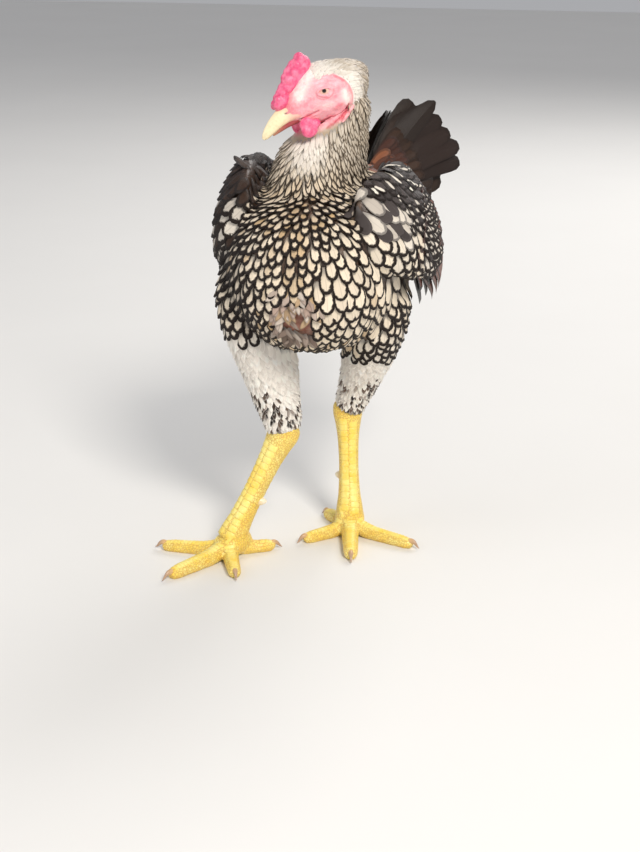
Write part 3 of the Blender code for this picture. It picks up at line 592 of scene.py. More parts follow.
def trunk_coat(place, normal):
    """Laced breast, greyed on the bird's right side as painted shade, worn keel, brown back with long saddle
    feathers, and dark fluff under the tail.
    """
    x, y, z = place
    if normal.z > 0.35 and y > 0.0:
        far = step_up(y, 0.05, 0.12)
        fill = varied(MAHOGANY if random.random() < 0.55 else RUST, 0.3)
        return "saddle", 0.0105 - 0.004 * far, 0.026 + 0.026 * far, *FLAT_LIE, fill, INK, 0.0011
    if y > 0.045:
        if normal.z < 0.1:
            fill = varied(blend(DUSK, SEPIA, step_up(y, 0.05, 0.15)), 0.25)
            return "down", 0.0120, 0.024, 0.0036, 0.0018, fill, blend(fill, INK, 0.6), 0.0010
        return "dark", 0.0105, 0.027, *FLAT_LIE, varied(MAHOGANY, 0.3), INK, 0.0010
    worn = keel_patch(place)
    if ((x - 0.009) / 0.016) ** 2 + ((z - 0.247) / 0.015) ** 2 < 0.8 + 1.1 * noise.noise(place * 150):
        return None
    if worn > 0.30:
        low = step_up(-z, -0.258, -0.244)
        fill = blend((0.46, 0.33, 0.27), IVORY, 0.6 * random.random())
        fill = blend(fill, DUSK, 0.9 * random.random() * low)
        if random.random() < 0.25 * (1 - low):
            fill = (0.52, 0.37, 0.23)
        return "down", 0.0058, 0.0135, 0.0034, 0.0026, fill, blend(fill, SEPIA, 0.35), 0.0006
    high = step_up(z, 0.290, 0.345)
    low_cells = 1 - step_up(z, 0.235, 0.285)
    outer = step_up(x, 0.012, 0.040) * (1 - high)
    # painted shade: the bird's right side of the breast is greyed towards ASH and laced more heavily
    shade = step_up(-x, 0.022, 0.055)
    width = 0.0096 - 0.0020 * high + 0.0036 * outer
    length = width * (1.95 - 0.25 * low_cells)
    middle = math.exp(-((x - 0.004) / 0.018) ** 2)
    fill = blend(CREAM, BUFF, random.uniform(0.0, 0.45) * middle)
    if random.random() < 0.05 + 0.32 * middle:
        fill = blend(CREAM, BUFF, random.uniform(0.3, 0.8))
    fill = blend(fill, ASH, shade * random.uniform(0.0, 0.5))
    return "laced", width, length, *BROAD_LIE, fill, INK, 0.0013 + 0.0002 * low_cells + 0.0009 * shade


def coat_at(part, place, normal):
    """What grows at a place: kind, width, length, root depth, tip lift, fill, edge, lace width."""
    if part == "neck":
        return neck_coat(place)
    if part.startswith("thigh"):
        return thigh_coat(part, place)
    if part.startswith("wing"):
        return wing_coat(part, place)
    return trunk_coat(place, normal)


def scatter(thing, spacing_at, tries, seed):
    """Places on a mesh no nearer to each other than the spacing that each asks for."""
    draw = np.random.default_rng(seed)
    mesh = thing.data
    mesh.calc_loop_triangles()
    corners = np.array([tri.vertices[:] for tri in mesh.loop_triangles])
    places, normals = points_of(thing)
    a, b, c = places[corners[:, 0]], places[corners[:, 1]], places[corners[:, 2]]
    areas = np.linalg.norm(np.cross(b - a, c - a), axis=1)
    picks = draw.choice(len(corners), size=tries, p=areas / areas.sum())
    r, s = np.sqrt(draw.random(tries)), draw.random(tries)
    found = a[picks] * (1 - r)[:, None] + b[picks] * (r * (1 - s))[:, None] + c[picks] * (r * s)[:, None]
    leaning = normals[corners[picks]].mean(1)
    leaning /= np.linalg.norm(leaning, axis=1)[:, None] + 1e-9
    cell = 0.010
    grid = {}
    kept = []
    for place, normal in zip(found.tolist(), leaning.tolist(), strict=True):
        asked = spacing_at(place, normal)
        if asked is None:
            continue
        spacing, info = asked
        key = tuple(int(math.floor(v / cell)) for v in place)
        near = (one for i in (-1, 0, 1) for j in (-1, 0, 1) for k in (-1, 0, 1)
                for one in grid.get((key[0] + i, key[1] + j, key[2] + k), ()))
        if any((other[0] - place[0]) ** 2 + (other[1] - place[1]) ** 2 + (other[2] - place[2]) ** 2
               < (0.5 * (spacing + room)) ** 2 for other, room in near):
            continue
        grid.setdefault(key, []).append((place, spacing))
        kept.append((Vector(place), Vector(normal), info))
    return kept


# Rows along a feather, and its half width at each as a share of the widest
ROWS = (0.0, 0.20, 0.42, 0.62, 0.80, 0.93, 1.0)
ROUND = (0.30, 0.62, 0.88, 1.0, 0.97, 0.74, 0.30)
BLUNT = (0.34, 0.74, 0.96, 1.0, 0.94, 0.70, 0.22)
KEEN = (0.36, 0.80, 1.0, 0.90, 0.64, 0.30, 0.05)
WISPY = (0.40, 0.85, 1.0, 0.95, 0.70, 0.38, 0.08)

# The corner of the coat's unwrap that each part of the body takes, and its scale
PATCHES = {"torso": (0.25, 0.30, 1.0), "neck": (0.76, 0.14, 1.6), "thigh_left": (0.62, 0.36, 1.3),
           "thigh_right": (0.86, 0.36, 1.3), "wing_left": (0.14, 0.66, 1.1), "wing_right": (0.44, 0.66, 1.1),
           "tail": (0.74, 0.62, 1.0), "head": (0.74, 0.86, 2.0)}

# The upright axis that each long part is unwrapped round, and its middle height
AXES = {"neck": (0.006, -0.02, 0.37), "thigh_left": (0.035, 0.02, 0.2), "thigh_right": (-0.044, -0.045, 0.2),
        "head": (0.02, -0.035, 0.44), "tail": (0.03, 0.20, 0.34)}


def unwrapped(part, place):
    """A place's spot on the skin's own unwrap: round the part's axis and along it."""
    u0, v0, scale = PATCHES[part]
    if part == "torso":
        turn = math.atan2(place.x, -(place.z - 0.288))
        return u0 + turn * 0.075 * scale, v0 + (place.y - 0.03) * 0.85 * scale
    if part.startswith("wing"):
        return u0 + (place.y - 0.03) * scale, v0 + (place.z - 0.30) * scale
    x, y, high = AXES[part]
    turn = math.atan2(place.x - x, -(place.y - y))
    return u0 + turn * 0.032 * scale, v0 + (place.z - high) * scale


class Coat:
    """Feathers gathered into one mesh, each a closed blade with a raised shaft line."""

    def __init__(self, name):
        self.name = name
        self.places, self.faces, self.uvs, self.patch = [], [], [], []
        self.rims, self.fills, self.edges = [], [], []

    def add(self, spine, faces_out, half, profile, fill, edge, lace, part, shares=ROWS, thick=0.00028,
            camber=0.20, turn=0.0, tip=0.55):
        """One feather along its spine, with the way that its outer side faces at each row."""
        start = len(self.places)
        length = sum((b - a).length for a, b in zip(spine, spine[1:], strict=False))
        u0, v0 = unwrapped(part, spine[0])
        last = len(spine) - 1
        for n, (middle, out, share, wide) in enumerate(zip(spine, faces_out, shares, profile, strict=True)):
            ahead = (spine[min(n + 1, last)] - spine[max(n - 1, 0)]).normalized()
            across = ahead.cross(out).normalized()
            out = across.cross(ahead)
            if turn:
                across = (across + out * turn).normalized()
            w = half * wide
            drop = out * (w * camber)
            self.places += [middle - across * w - drop, middle + out * thick, middle + across * w - drop,
                            middle - out * thick]
            depth = min(w, (1 - share) * length * tip) / lace
            self.rims += [0.0, depth, 0.0, depth]
            for u in (0.5 - 0.5 * wide, 0.5, 0.5 + 0.5 * wide, 0.5):
                self.uvs.append((u, share))
                self.patch.append((u0 + (u - 0.5) * PATCH_SIDE, v0 + (share - 0.5) * PATCH_SIDE))
        for n in range(last):
            a, b = start + 4 * n, start + 4 * n + 4
            for k in range(4):
                m = (k + 1) % 4
                self.faces.append((a + k, a + m, b + m, b + k))
        top = start + 4 * last
        self.faces.append((start + 3, start + 2, start + 1, start))
        self.faces.append((top, top + 1, top + 2, top + 3))
        self.fills += [fill] * (4 * len(spine))
        self.edges += [edge] * (4 * len(spine))

    def make(self, material):
        """The mesh object of all the feathers."""
        mesh = bpy.data.meshes.new(self.name)
        mesh.from_pydata([tuple(p) for p in self.places], [], self.faces)
        mesh.update()
        thing = link(bpy.data.objects.new(self.name, mesh))
        tint(thing, "fill", np.array(self.fills))
        tint(thing, "edge", np.array(self.edges))
        gauge(thing, "rim", self.rims)
        corner = np.empty(len(mesh.loops), dtype=np.int32)
        mesh.loops.foreach_get("vertex_index", corner)
        for title, values in (("OFBake", self.patch), ("vane", self.uvs)):
            layer = mesh.uv_layers.new(name=title)
            layer.data.foreach_set("uv", np.array(values, dtype=np.float32)[corner].ravel())
        mesh.shade_smooth()
        mesh.set_sharp_from_angle(angle=math.radians(50))
        mesh.materials.append(material)
        return thing


def laid(place, normal, way, length, sunk, lift, shares=ROWS, surface=None, curl=0.0):
    """A feather's line laid along the envelope, rising from its root to its tip."""
    surface = surface or ENVELOPE
    spine, outs = [], []
    here, out = place.copy(), normal.copy()
    done = 0.0
    for share in shares:
        run = (share - done) * length
        done = share
        if run:
            way = (way - out * way.dot(out)).normalized()
            ahead = here + way * run
            near, found, _, off = surface.find_nearest(ahead)
            if off < 0.45 * run + 0.0005:
                here = near
                out = out.lerp(found, 0.6).normalized()
            else:
                here = ahead
        height = -sunk + (sunk + lift) * share ** 0.85 + curl * share ** 3
        spine.append(here + out * height)
        outs.append(out.copy())
    return spine, outs


# Each kind of feather: its coat, its outline and its spacing as a share of its width
COATS = {"laced": Coat("laced_feathers"), "hackle": Coat("hackle_feathers"),
         "saddle": Coat("saddle_feathers"), "dark": Coat("dark_feathers"),
         "down": Coat("leg_and_belly_feathers")}
SHAPES = {"laced": ROUND, "hackle": KEEN, "saddle": KEEN, "dark": BLUNT, "down": WISPY}
SPACING = {"laced": 0.70, "hackle": 0.68, "saddle": 0.62, "dark": 0.66, "down": 0.50}


def coat_spacing(place, normal):
    """How far apart feathers stand at a place, with what grows there."""
    place, normal = Vector(place), Vector(normal)
    part = part_at(place)
    spot = HEAD_IN @ place
    top = -0.018 + 0.024 * step_up(spot.y, 0.012, 0.026)
    if place.z > HACKLE_TOP and (bare(spot) > 0.4 or spot.z > top):
        return None
    made = coat_at(part, place, normal)
    if made is None:
        return None
    return made[1] * SPACING[made[0]], (part, made)


def evened(roots, rounds):
    """The same roots pushed a little apart along the envelope, so that their tips make even rows."""
    places = np.array([root[0][:] for root in roots])
    room = np.array([root[2][1][1] * SPACING[root[2][1][0]] for root in roots])
    for _ in range(rounds):
        near = kdtree.KDTree(len(places))
        for n, place in enumerate(places.tolist()):
            near.insert(place, n)
        near.balance()
        moves = np.zeros_like(places)
        for n, place in enumerate(places.tolist()):
            here = Vector(place)
            push = Vector((0, 0, 0))
            for other, m, far in near.find_range(here, room[n] * 1.45):
                if m != n and far > 1e-6:
                    asked = 0.5 * (room[n] + room[m]) * 1.28
                    if far < asked:
                        push += (here - other) * ((asked - far) / far)
            moves[n] = push * 0.22
        for n, place in enumerate((places + moves).tolist()):
            places[n] = ENVELOPE.find_nearest(Vector(place))[0]
    kept = []
    for place, root in zip(places.tolist(), roots, strict=True):
        here = Vector(place)
        kept.append((here, ENVELOPE.find_nearest(here)[1].lerp(root[1], 0.4).normalized(), root[2]))
    return kept


def plant_body():
    """The coats of the trunk, neck, thighs and wing fronts."""
    tries = 60000
    roots = evened(scatter(envelope, coat_spacing, tries, 7), 7)
    for place, normal, (part, made) in roots:
        kind, width, length, sunk, lift, fill, edge, lace = made
        way = lies(part, place)
        way = (way - normal * way.dot(normal)).normalized()
        unruly = 0.50 if part == "torso" and kind == "down" and place.y < 0 else 0.08
        way = Matrix.Rotation(random.gauss(0, unruly), 3, normal) @ way
        size = random.uniform(0.92, 1.08)
        spine, outs = laid(place, normal, way, length * size, sunk, lift + random.uniform(0, 0.0005),
                           curl=random.uniform(-0.0004, 0.0008))
        tone = 0.10 if kind in ("laced", "hackle") else 0.16
        COATS[kind].add(spine, outs, width * size / 2, SHAPES[kind], varied(fill, tone), edge,
                        lace * random.uniform(0.85, 1.2), part, turn=random.gauss(0, 0.05))


plant_body()

# Wing feather tiers: count, root line and tip line in the side view (y, z), width, lift, colours
TIERS = (
    {"count": 8, "roots": ((0.030, 0.262), (0.055, 0.276)), "tips": ((0.158, 0.226), (0.186, 0.245)),
     "width": 0.0165, "lift": -0.0052, "turn": 8, "fill": SEPIA, "edge": INK},
    {"count": 12, "roots": ((-0.012, 0.264), (0.058, 0.322)), "tips": ((0.120, 0.218), (0.156, 0.278)),
     "width": 0.0185, "lift": 0.0, "turn": 9, "fill": (0.15, 0.045, 0.022), "edge": SEPIA},
    {"count": 11, "roots": ((-0.044, 0.272), (0.022, 0.328)), "tips": ((0.034, 0.234), (0.088, 0.300)),
     "width": 0.0165, "lift": 0.0026, "turn": 11, "fill": INK, "edge": (0.010, 0.016, 0.014)},
    {"count": 11, "roots": ((-0.050, 0.284), (0.006, 0.338)), "tips": ((0.004, 0.254), (0.056, 0.322)),
     "width": 0.0155, "lift": 0.0044, "turn": 12, "fill": MAHOGANY, "edge": INK},
)
WING_SAG = 0.05
LONG_ROWS = (0.0, 0.14, 0.30, 0.46, 0.62, 0.76, 0.87, 0.95, 1.0)
QUILL = (0.30, 0.62, 0.86, 0.97, 1.0, 1.0, 0.95, 0.80, 0.42)
SICKLE = (0.40, 0.75, 0.95, 1.0, 0.98, 0.90, 0.76, 0.54, 0.14)


def plant_wing(side):
    """The long feathers of one folded wing, in tiers."""
    coat = Coat("wing_feathers_left" if side > 0 else "wing_feathers_right")
    part = "wing_left" if side > 0 else "wing_right"
    out = Vector((side * math.cos(WING_LEAN), 0, math.sin(WING_LEAN)))
    for tier in TIERS:
        (y0, z0), (y1, z1) = tier["roots"]
        (v0, w0), (v1, w1) = tier["tips"]
        for n in range(tier["count"]):
            t = n / (tier["count"] - 1)
            y, z = y0 + (y1 - y0) * t, z0 + (z1 - z0) * t
            rise = WING_SET[side][1] * front_share(y)
            z += rise
            hit = TREES[part].ray_cast(Vector((side * 0.3, y, z)), Vector((-side, 0, 0)))[0]
            root = hit - out * (0.0016 - tier["lift"] * 0.45)
            run = v0 + (v1 - v0) * t - y + random.uniform(-0.002, 0.002)
            taper = 0.130 * run + 0.0035 * t
            tip = Vector((hit.x - side * (taper - tier["lift"]), y + run, w0 + (w1 - w0) * t + rise * 0.4))
            tip += out * 0.0022 * t
            line = tip - root
            face = Matrix.Rotation(side * math.radians(tier["turn"]), 3, line.normalized()) @ out
            spine = [root + line * s + out * (0.02 * line.length * 4 * s * (1 - s))
                     - Vector((0, 0, WING_SAG * line.length * s * s))
                     + Vector((0, 0, WING_SAG * line.length * s))
                     for s in LONG_ROWS]
            fill = varied(tier["fill"], 0.18)
            coat.add(spine, [face] * len(spine), tier["width"] / 2, QUILL, fill, tier["edge"],
                     0.0022, part, LONG_ROWS, 0.0004, 0.14)
    give(coat.make(DARK), "brown_wing_feathers", part)


plant_wing(1)
plant_wing(-1)


# Groups of tail feathers on each side: count, and from the first to the last feather the rise at the root and
# at the tip (degrees), spread (degrees), length, width, root height and colour
TAIL = (
    {"count": 14, "rise": (58, 16), "fall": (40, 8), "spread": (3, 16), "length": (0.093, 0.088),
     "width": 0.0260, "high": (0.014, -0.006), "out": 0.004,
     "shape": "quill", "fill": (0.030, 0.019, 0.014), "back": 0.0},
    {"count": 9, "rise": (66, 58), "fall": (22, 32), "spread": (3, 14), "length": (0.082, 0.104),
     "width": 0.0230, "high": (0.018, 0.010), "out": 0.005,
     "shape": "sickle", "fill": (0.028, 0.018, 0.014), "back": 0.0},
    {"count": 4, "rise": (46, 28), "fall": (18, -2), "spread": (14, 21), "length": (0.104, 0.112),
     "width": 0.0215, "high": (0.014, 0.002), "out": 0.007,
     "shape": "quill", "fill": (0.026, 0.016, 0.013), "back": 0.0},
    {"count": 13, "rise": (72, 4), "fall": (22, -50), "spread": (2, 24), "length": (0.080, 0.062),
     "width": 0.0220, "high": (0.018, -0.012), "out": 0.010,
     "shape": "quill", "fill": (0.036, 0.022, 0.016), "back": 0.0},
    {"count": 20, "rise": (74, 2), "fall": (14, -50), "spread": (2, 28), "length": (0.068, 0.054),
     "width": 0.0135, "high": (0.018, -0.012), "out": 0.013,
     "shape": "quill", "fill": SEPIA, "back": -0.010},
    {"count": 26, "rise": (74, 0), "fall": (6, -50), "spread": (4, 32), "length": (0.056, 0.046),
     "width": 0.0105, "high": (0.020, -0.010), "out": 0.016,
     "shape": "quill", "fill": (0.075, 0.028, 0.018), "back": -0.020},
    {"count": 26, "rise": (70, -4), "fall": (0, -50), "spread": (6, 34), "length": (0.044, 0.038),
     "width": 0.0095, "high": (0.021, -0.012), "out": 0.019,
     "shape": "quill", "fill": (0.130, 0.044, 0.024), "back": -0.032},
)


def plant_tail():
    """The tail in groups: main feathers like a tent, arched sickles over them, and coverts over the root."""
    back = Vector((math.sin(TAIL_YAW), math.cos(TAIL_YAW), 0))
    left = Vector((back.y, -back.x, 0))
    up = Vector((0, 0, 1))
    coat = Coat("tail_feathers")
    shapes = {"quill": QUILL, "sickle": SICKLE}
    for group in TAIL:
        for side in (1, -1):
            for n in range(group["count"]):
                t = n / (group["count"] - 1)
                first, last, spread, length, high = (a + (b - a) * t for a, b in (
                    group["rise"], group["fall"], group["spread"], group["length"], group["high"]))
                spread = math.radians(spread + random.uniform(-1.5, 1.5)) * (1.0 if side > 0 else -0.5)
                length *= random.uniform(0.94, 1.06) * (1.0 if side > 0 else 0.88)
                level = back * math.cos(spread) + left * math.sin(spread)
                loose = 0.0035 if group["back"] < -0.015 else 0.0
                here = (TAIL_ROOT + back * (group["back"] + 0.004 + random.uniform(-loose, loose)) + up * high
                        + left * side * (group["out"] + 0.0085 * math.sin(math.pi * (0.12 + 0.60 * t))))
                spine, outs = [here.copy()], []
                for begun, ended in zip(LONG_ROWS, LONG_ROWS[1:], strict=False):
                    angle = math.radians(first + (last - first) * ((begun + ended) / 2) ** 1.15)
                    way = level * math.cos(angle) + up * math.sin(angle)
                    face = (left * side * 0.9 + up * 0.45 * math.cos(angle) - level * 0.25 * math.sin(angle))
                    face = (face - way * face.dot(way)).normalized()
                    here = here + way * (length * (ended - begun))
                    spine.append(here.copy())
                    outs.append(face)
                outs.append(outs[-1])
                fill = varied(group["fill"], 0.25)
                if group["back"] < -0.015 and random.random() < 0.20:
                    fill = varied((0.24, 0.085, 0.038), 0.3)
                coat.add(spine, outs, group["width"] / 2, shapes[group["shape"]], fill, blend(fill, INK, 0.6),
                         0.0016, "tail", LONG_ROWS, 0.00045, 0.16)
    give(coat.make(GLOSSY), "black_tail_feathers", "tail")
    return fleshy_root(back, up)


def fleshy_root(back, up):
    """The fleshy root that the tail's feathers grow from."""
    rows = [
        (*(TAIL_ROOT - back * 0.024), 0, 0, 1, 0.020, 0.019, 0.022),
        (*(TAIL_ROOT + up * 0.002), 0, 0, 1, 0.018, 0.018, 0.019),
        (*(TAIL_ROOT + back * 0.018 + up * 0.008), 0, 0, 1, 0.0125, 0.013, 0.014),
        (*(TAIL_ROOT + back * 0.028 + up * 0.011), 0, 0, 1, 0.0050, 0.006, 0.006),
    ]
    return loft("tail_stub", rows, 20, 12)


tail_stub = plant_tail()


# The fold that bounds the bare face behind, and the crease over the jaw, as (y, z) in the head's frame; both
# also carry deep red painted shade
FACE_RIM = ((0.0085, 0.0116), (0.0155, 0.0043), (0.0166, -0.0087), (0.0148, -0.0170), (0.0104, -0.0226),
            (0.0025, -0.0280), (-0.0060, -0.0295))
JAW_CREASE = ((0.0100, -0.0162), (0.0085, -0.0190), (0.0026, -0.0228), (-0.0058, -0.0262), (-0.0120, -0.0280))
# The band between comb and eye: pale skin, made paler still by a painted highlight
PALE_BROW_HIGHLIGHT = ((-0.0275, 0.0070), (-0.0224, 0.0140), (-0.0165, 0.0190), (-0.0105, 0.0222))
GAPE_CREASE = ((-0.0330, -0.0128), (-0.0280, -0.0122), (-0.0220, -0.0112), (-0.0160, -0.0104))


# Swells and hollows of brow, orbit, cheek, muzzle, lore and ear: height, middle and half sizes
HEAD_SWELLS = (
    (0.0015, (0.0165, -0.010, 0.0120), (0.008, 0.012, 0.0038)),
    (-0.0022, (0.0205, -0.006, 0.0040), (0.008, 0.0088, 0.0070)),
    (0.0017, (0.0190, 0.004, -0.0105), (0.010, 0.012, 0.0070)),
    (0.0011, (0.0130, -0.022, -0.0070), (0.008, 0.0090, 0.0050)),
    (-0.0009, (0.0140, -0.020, 0.0020), (0.010, 0.0060, 0.0045)),
    (0.0010, (0.0210, 0.0109, -0.0079), (0.008, 0.0042, 0.0080)),
)

# Folds and creases along those lines: height, line, half width, and how far the line is moved back for it
HEAD_FOLDS = (
    (0.0013, FACE_RIM, 0.0020, (0, 0, 0)), (-0.0008, FACE_RIM, 0.0015, (0, 0.0028, 0)),
    (-0.0022, JAW_CREASE, 0.0013, (0, 0, 0)), (0.0011, JAW_CREASE, 0.0018, (0, 0.0016, -0.0026)),
    (0.0009, JAW_CREASE, 0.0016, (0, -0.0014, 0.0028)), (-0.0010, GAPE_CREASE, 0.0008, (0, 0, 0)),
    (0.0006, GAPE_CREASE, 0.0012, (0, 0, 0.0022)),
)


def near_line(places, line, width):
    """How near places are to a line in the side view, 1 on it and near 0 at its width."""
    best = np.full(len(places), 1.0)
    for (y0, z0), (y1, z1) in zip(line, line[1:], strict=False):
        run = np.array((y1 - y0, z1 - z0))
        off = places[:, 1:] - np.array((y0, z0))
        t = np.clip(off @ run / (run @ run), 0, 1)
        best = np.minimum(best, np.linalg.norm(off - t[:, None] * run, axis=1))
    return np.exp(-1.6 * (best / width) ** 2)


def head_form():
    """The bare head: a fine skull with brows, cheeks, jaw folds, lids and ear hollows worked into it."""
    rows = along_y([
        (0.0395, -0.002, 0.006, 0.005, 0.006), (0.036, -0.001, 0.0135, 0.0105, 0.0150),
        (0.026, 0.000, 0.0195, 0.0165, 0.0225), (0.012, 0.000, 0.0222, 0.0215, 0.0265),
        (-0.003, 0.000, 0.0215, 0.0246, 0.0268), (-0.014, -0.001, 0.0190, 0.0234, 0.0245),
        (-0.024, -0.003, 0.0152, 0.0180, 0.0205), (-0.033, -0.005, 0.0112, 0.0122, 0.0126),
        (-0.040, -0.007, 0.0080, 0.0080, 0.0072),
    ])
    skull = loft("skull", rows, 120, 130)
    places, normals = points_of(skull)
    side = places.copy()
    side[:, 0] = np.abs(side[:, 0])
    move = np.zeros(len(side))
    for rise, middle, sizes in HEAD_SWELLS:
        move += rise * bell(side, middle, sizes)
    flank = np.clip((side[:, 0] - 0.004) / 0.006, 0, 1)
    for rise, line, width, over in HEAD_FOLDS:
        move += rise * near_line(side + np.array(over), line, width) * flank
    crumple = [noise.noise(Vector((p[0] * 380, p[1] * 240, p[2] * 470))) for p in places.tolist()]
    fine = [noise.noise(Vector((p[0] * 900, p[1] * 700, p[2] * 1100))) for p in places.tolist()]
    move += 0.00032 * np.array(crumple) + 0.00014 * np.array(fine)
    set_points(skull, places + normals * move[:, None])
    pieces = [skull]
    for way in (1, -1):
        middle = Vector((way * (EYE_AT.x + 0.0014), EYE_AT.y, EYE_AT.z))
        for wide, tall, thick, off in ((0.0062, 0.0039, 0.0014, 0.0004), (0.0090, 0.0066, 0.0010, -0.0009)):
            bpy.ops.mesh.primitive_torus_add(major_segments=56, minor_segments=14, major_radius=1.0,
                                             minor_radius=0.2, location=(0, 0, 0))
            ring = bpy.context.object
            spots, _ = points_of(ring)
            girth = np.hypot(spots[:, 0], spots[:, 1])
            around = spots[:, :2] / girth[:, None]
            lid = (girth - 1) / 0.2 * thick
            upper = np.where(around[:, 1] > 0, 1.3, 0.9)
            flat = np.zeros_like(spots)
            flat[:, 1] = around[:, 0] * (wide + lid)
            squeeze = np.where(around[:, 1] > 0, 0.72, 1.10)
            flat[:, 2] = around[:, 1] * (tall + lid) * squeeze - 0.20 * flat[:, 1]
            flat[:, 0] = way * (spots[:, 2] / 0.2 * thick * upper + off - 27 * flat[:, 1] ** 2)
            set_points(ring, flat + np.array(middle))
            if way < 0:
                ring.data.flip_normals()
            pieces.append(ring)
    made = joined("head_form", pieces)
    fused(made, HEAD_GRAIN, 2)
    applied(made, "DECIMATE", ratio=0.50)
    made.data.transform(HEAD_TURN)
    return made


head_skin = head_form()
HEAD_TREE = surface_of(head_skin)


def plant_head():
    """Short feathers on the crown, nape, ear and throat."""
    coat = Coat("crown_feathers")
    back_way = HEAD_TURN.to_3x3() @ Vector((0, 1, -0.25))

    def spacing(place, normal):
        spot = HEAD_IN @ Vector(place)
        share = bare(spot)
        if share > 0.55 and random.random() > 0.06 * (share < 0.9):
            return None
        return (0.0018 if spot.z > -0.012 else 0.0022), spot

    for place, normal, spot in scatter(head_skin, spacing, 26000, 3):
        throat = step_up(-spot.z, 0.008, 0.018) * (1 - step_up(spot.y, 0.006, 0.018))
        way = back_way.lerp(Vector((0.1, 0.1, -1.0)), throat)
        if spot.y > 0.012:
            way = way.lerp(Vector((0.15, 0.25, -1.0)), step_up(spot.y, 0.012, 0.030))
        way = (way - normal * way.dot(normal)).normalized()
        way = Matrix.Rotation(random.gauss(0, 0.16), 3, normal) @ way
        occiput = step_up(spot.y, 0.020, 0.034) * (1 - throat)
        crest = step_up(spot.z, 0.008, 0.016) * step_up(spot.y, -0.004, 0.018)
        fill = blend(SNOW, KHAKI, max(occiput, 0.8 * crest) * random.uniform(0.3, 1.0))
        fill = blend(fill, SNOW, throat)
        edge = blend(fill, SEPIA, 0.05 + 0.5 * occiput)
        nape = step_up(spot.y, 0.014, 0.030) * step_up(-spot.z, 0.0, 0.012)
        length = 0.0060 + 0.0030 * step_up(spot.y, 0.0, 0.03) + 0.003 * throat + 0.0050 * nape
        spine, outs = laid(place, normal, way, length * random.uniform(0.8, 1.15), 0.0004,
                           0.0009 + random.uniform(0, 0.0005), surface=HEAD_TREE)
        coat.add(spine, outs, 0.0015 + 0.0004 * occiput, KEEN, varied(fill, 0.08), edge, 0.0004, "head",
                 thick=0.00015)
    return coat


crown = plant_head()
give(crown.make(HACKLE), "cream_hackle")
for key, material, slot in (("laced", LACED, "laced_feathers"), ("hackle", HACKLE, "cream_hackle"),
                            ("saddle", DARK, "brown_wing_feathers"), ("dark", DARK, "brown_wing_feathers"),
                            ("down", LACED, "laced_feathers")):
    give(COATS[key].make(material), slot)


def skin_finish():
    """The skin in the tones given to it, pimpled and blotched where the face is bare, with fine pale specks
    of painted highlight on the face.
    """
    made, w = finish("bird_skin", PINK, 0.38, Specular_IOR_Level=0.5,
                     Subsurface_Weight=0.15, Subsurface_Scale=0.003, Subsurface_Radius=(1.0, 0.3, 0.2))
    where = w.where()
    tone = w.read("tone", "Color")
    face = w.read("face")
    pimples = w.node("ShaderNodeTexVoronoi", in_Vector=where, in_Scale=760.0).outputs["Distance"]
    blotch = w.noise(where, 130.0, 4.0)
    fine = w.noise(where, 620.0, 4.0)
    rosy = w.mix(1.0, tone, (1.0, 0.62, 0.68), "MULTIPLY")
    base = w.mix(w.math("MULTIPLY", w.spread(blotch, 0.42, 0.70), face), tone, rosy)
    # painted highlight: fine pale specks on the bare face, standing in for glints of light
    painted_glint = w.math("MULTIPLY", w.spread(fine, 0.50, 0.78), w.math("MULTIPLY", face, 0.28))
    w.paint(w.mix(painted_glint, base, (0.97, 0.82, 0.80)))
    height = w.math("ADD", w.math("MULTIPLY", pimples, 0.8), w.math("MULTIPLY", fine, 0.9))
    w.bump(height, 0.55, 0.0006)
    return made


# Pale places of the face: strength, middle and half sizes, for the ear, throat, cheek and root of the bill;
# the cheek spot under the eye is a painted highlight
PALE_AND_HIGHLIGHT_SPOTS = (
    (1.5, (0.0210, 0.0105, -0.0075), (0.012, 0.0050, 0.0090)),
    (1.5, (0.0120, -0.0080, -0.0310), (0.012, 0.0180, 0.0060)),
    (0.5, (0.0190, -0.0070, -0.0080), (0.010, 0.0100, 0.0040)),
    (1.4, (0.0090, -0.0335, -0.0115), (0.012, 0.0060, 0.0034)),
)


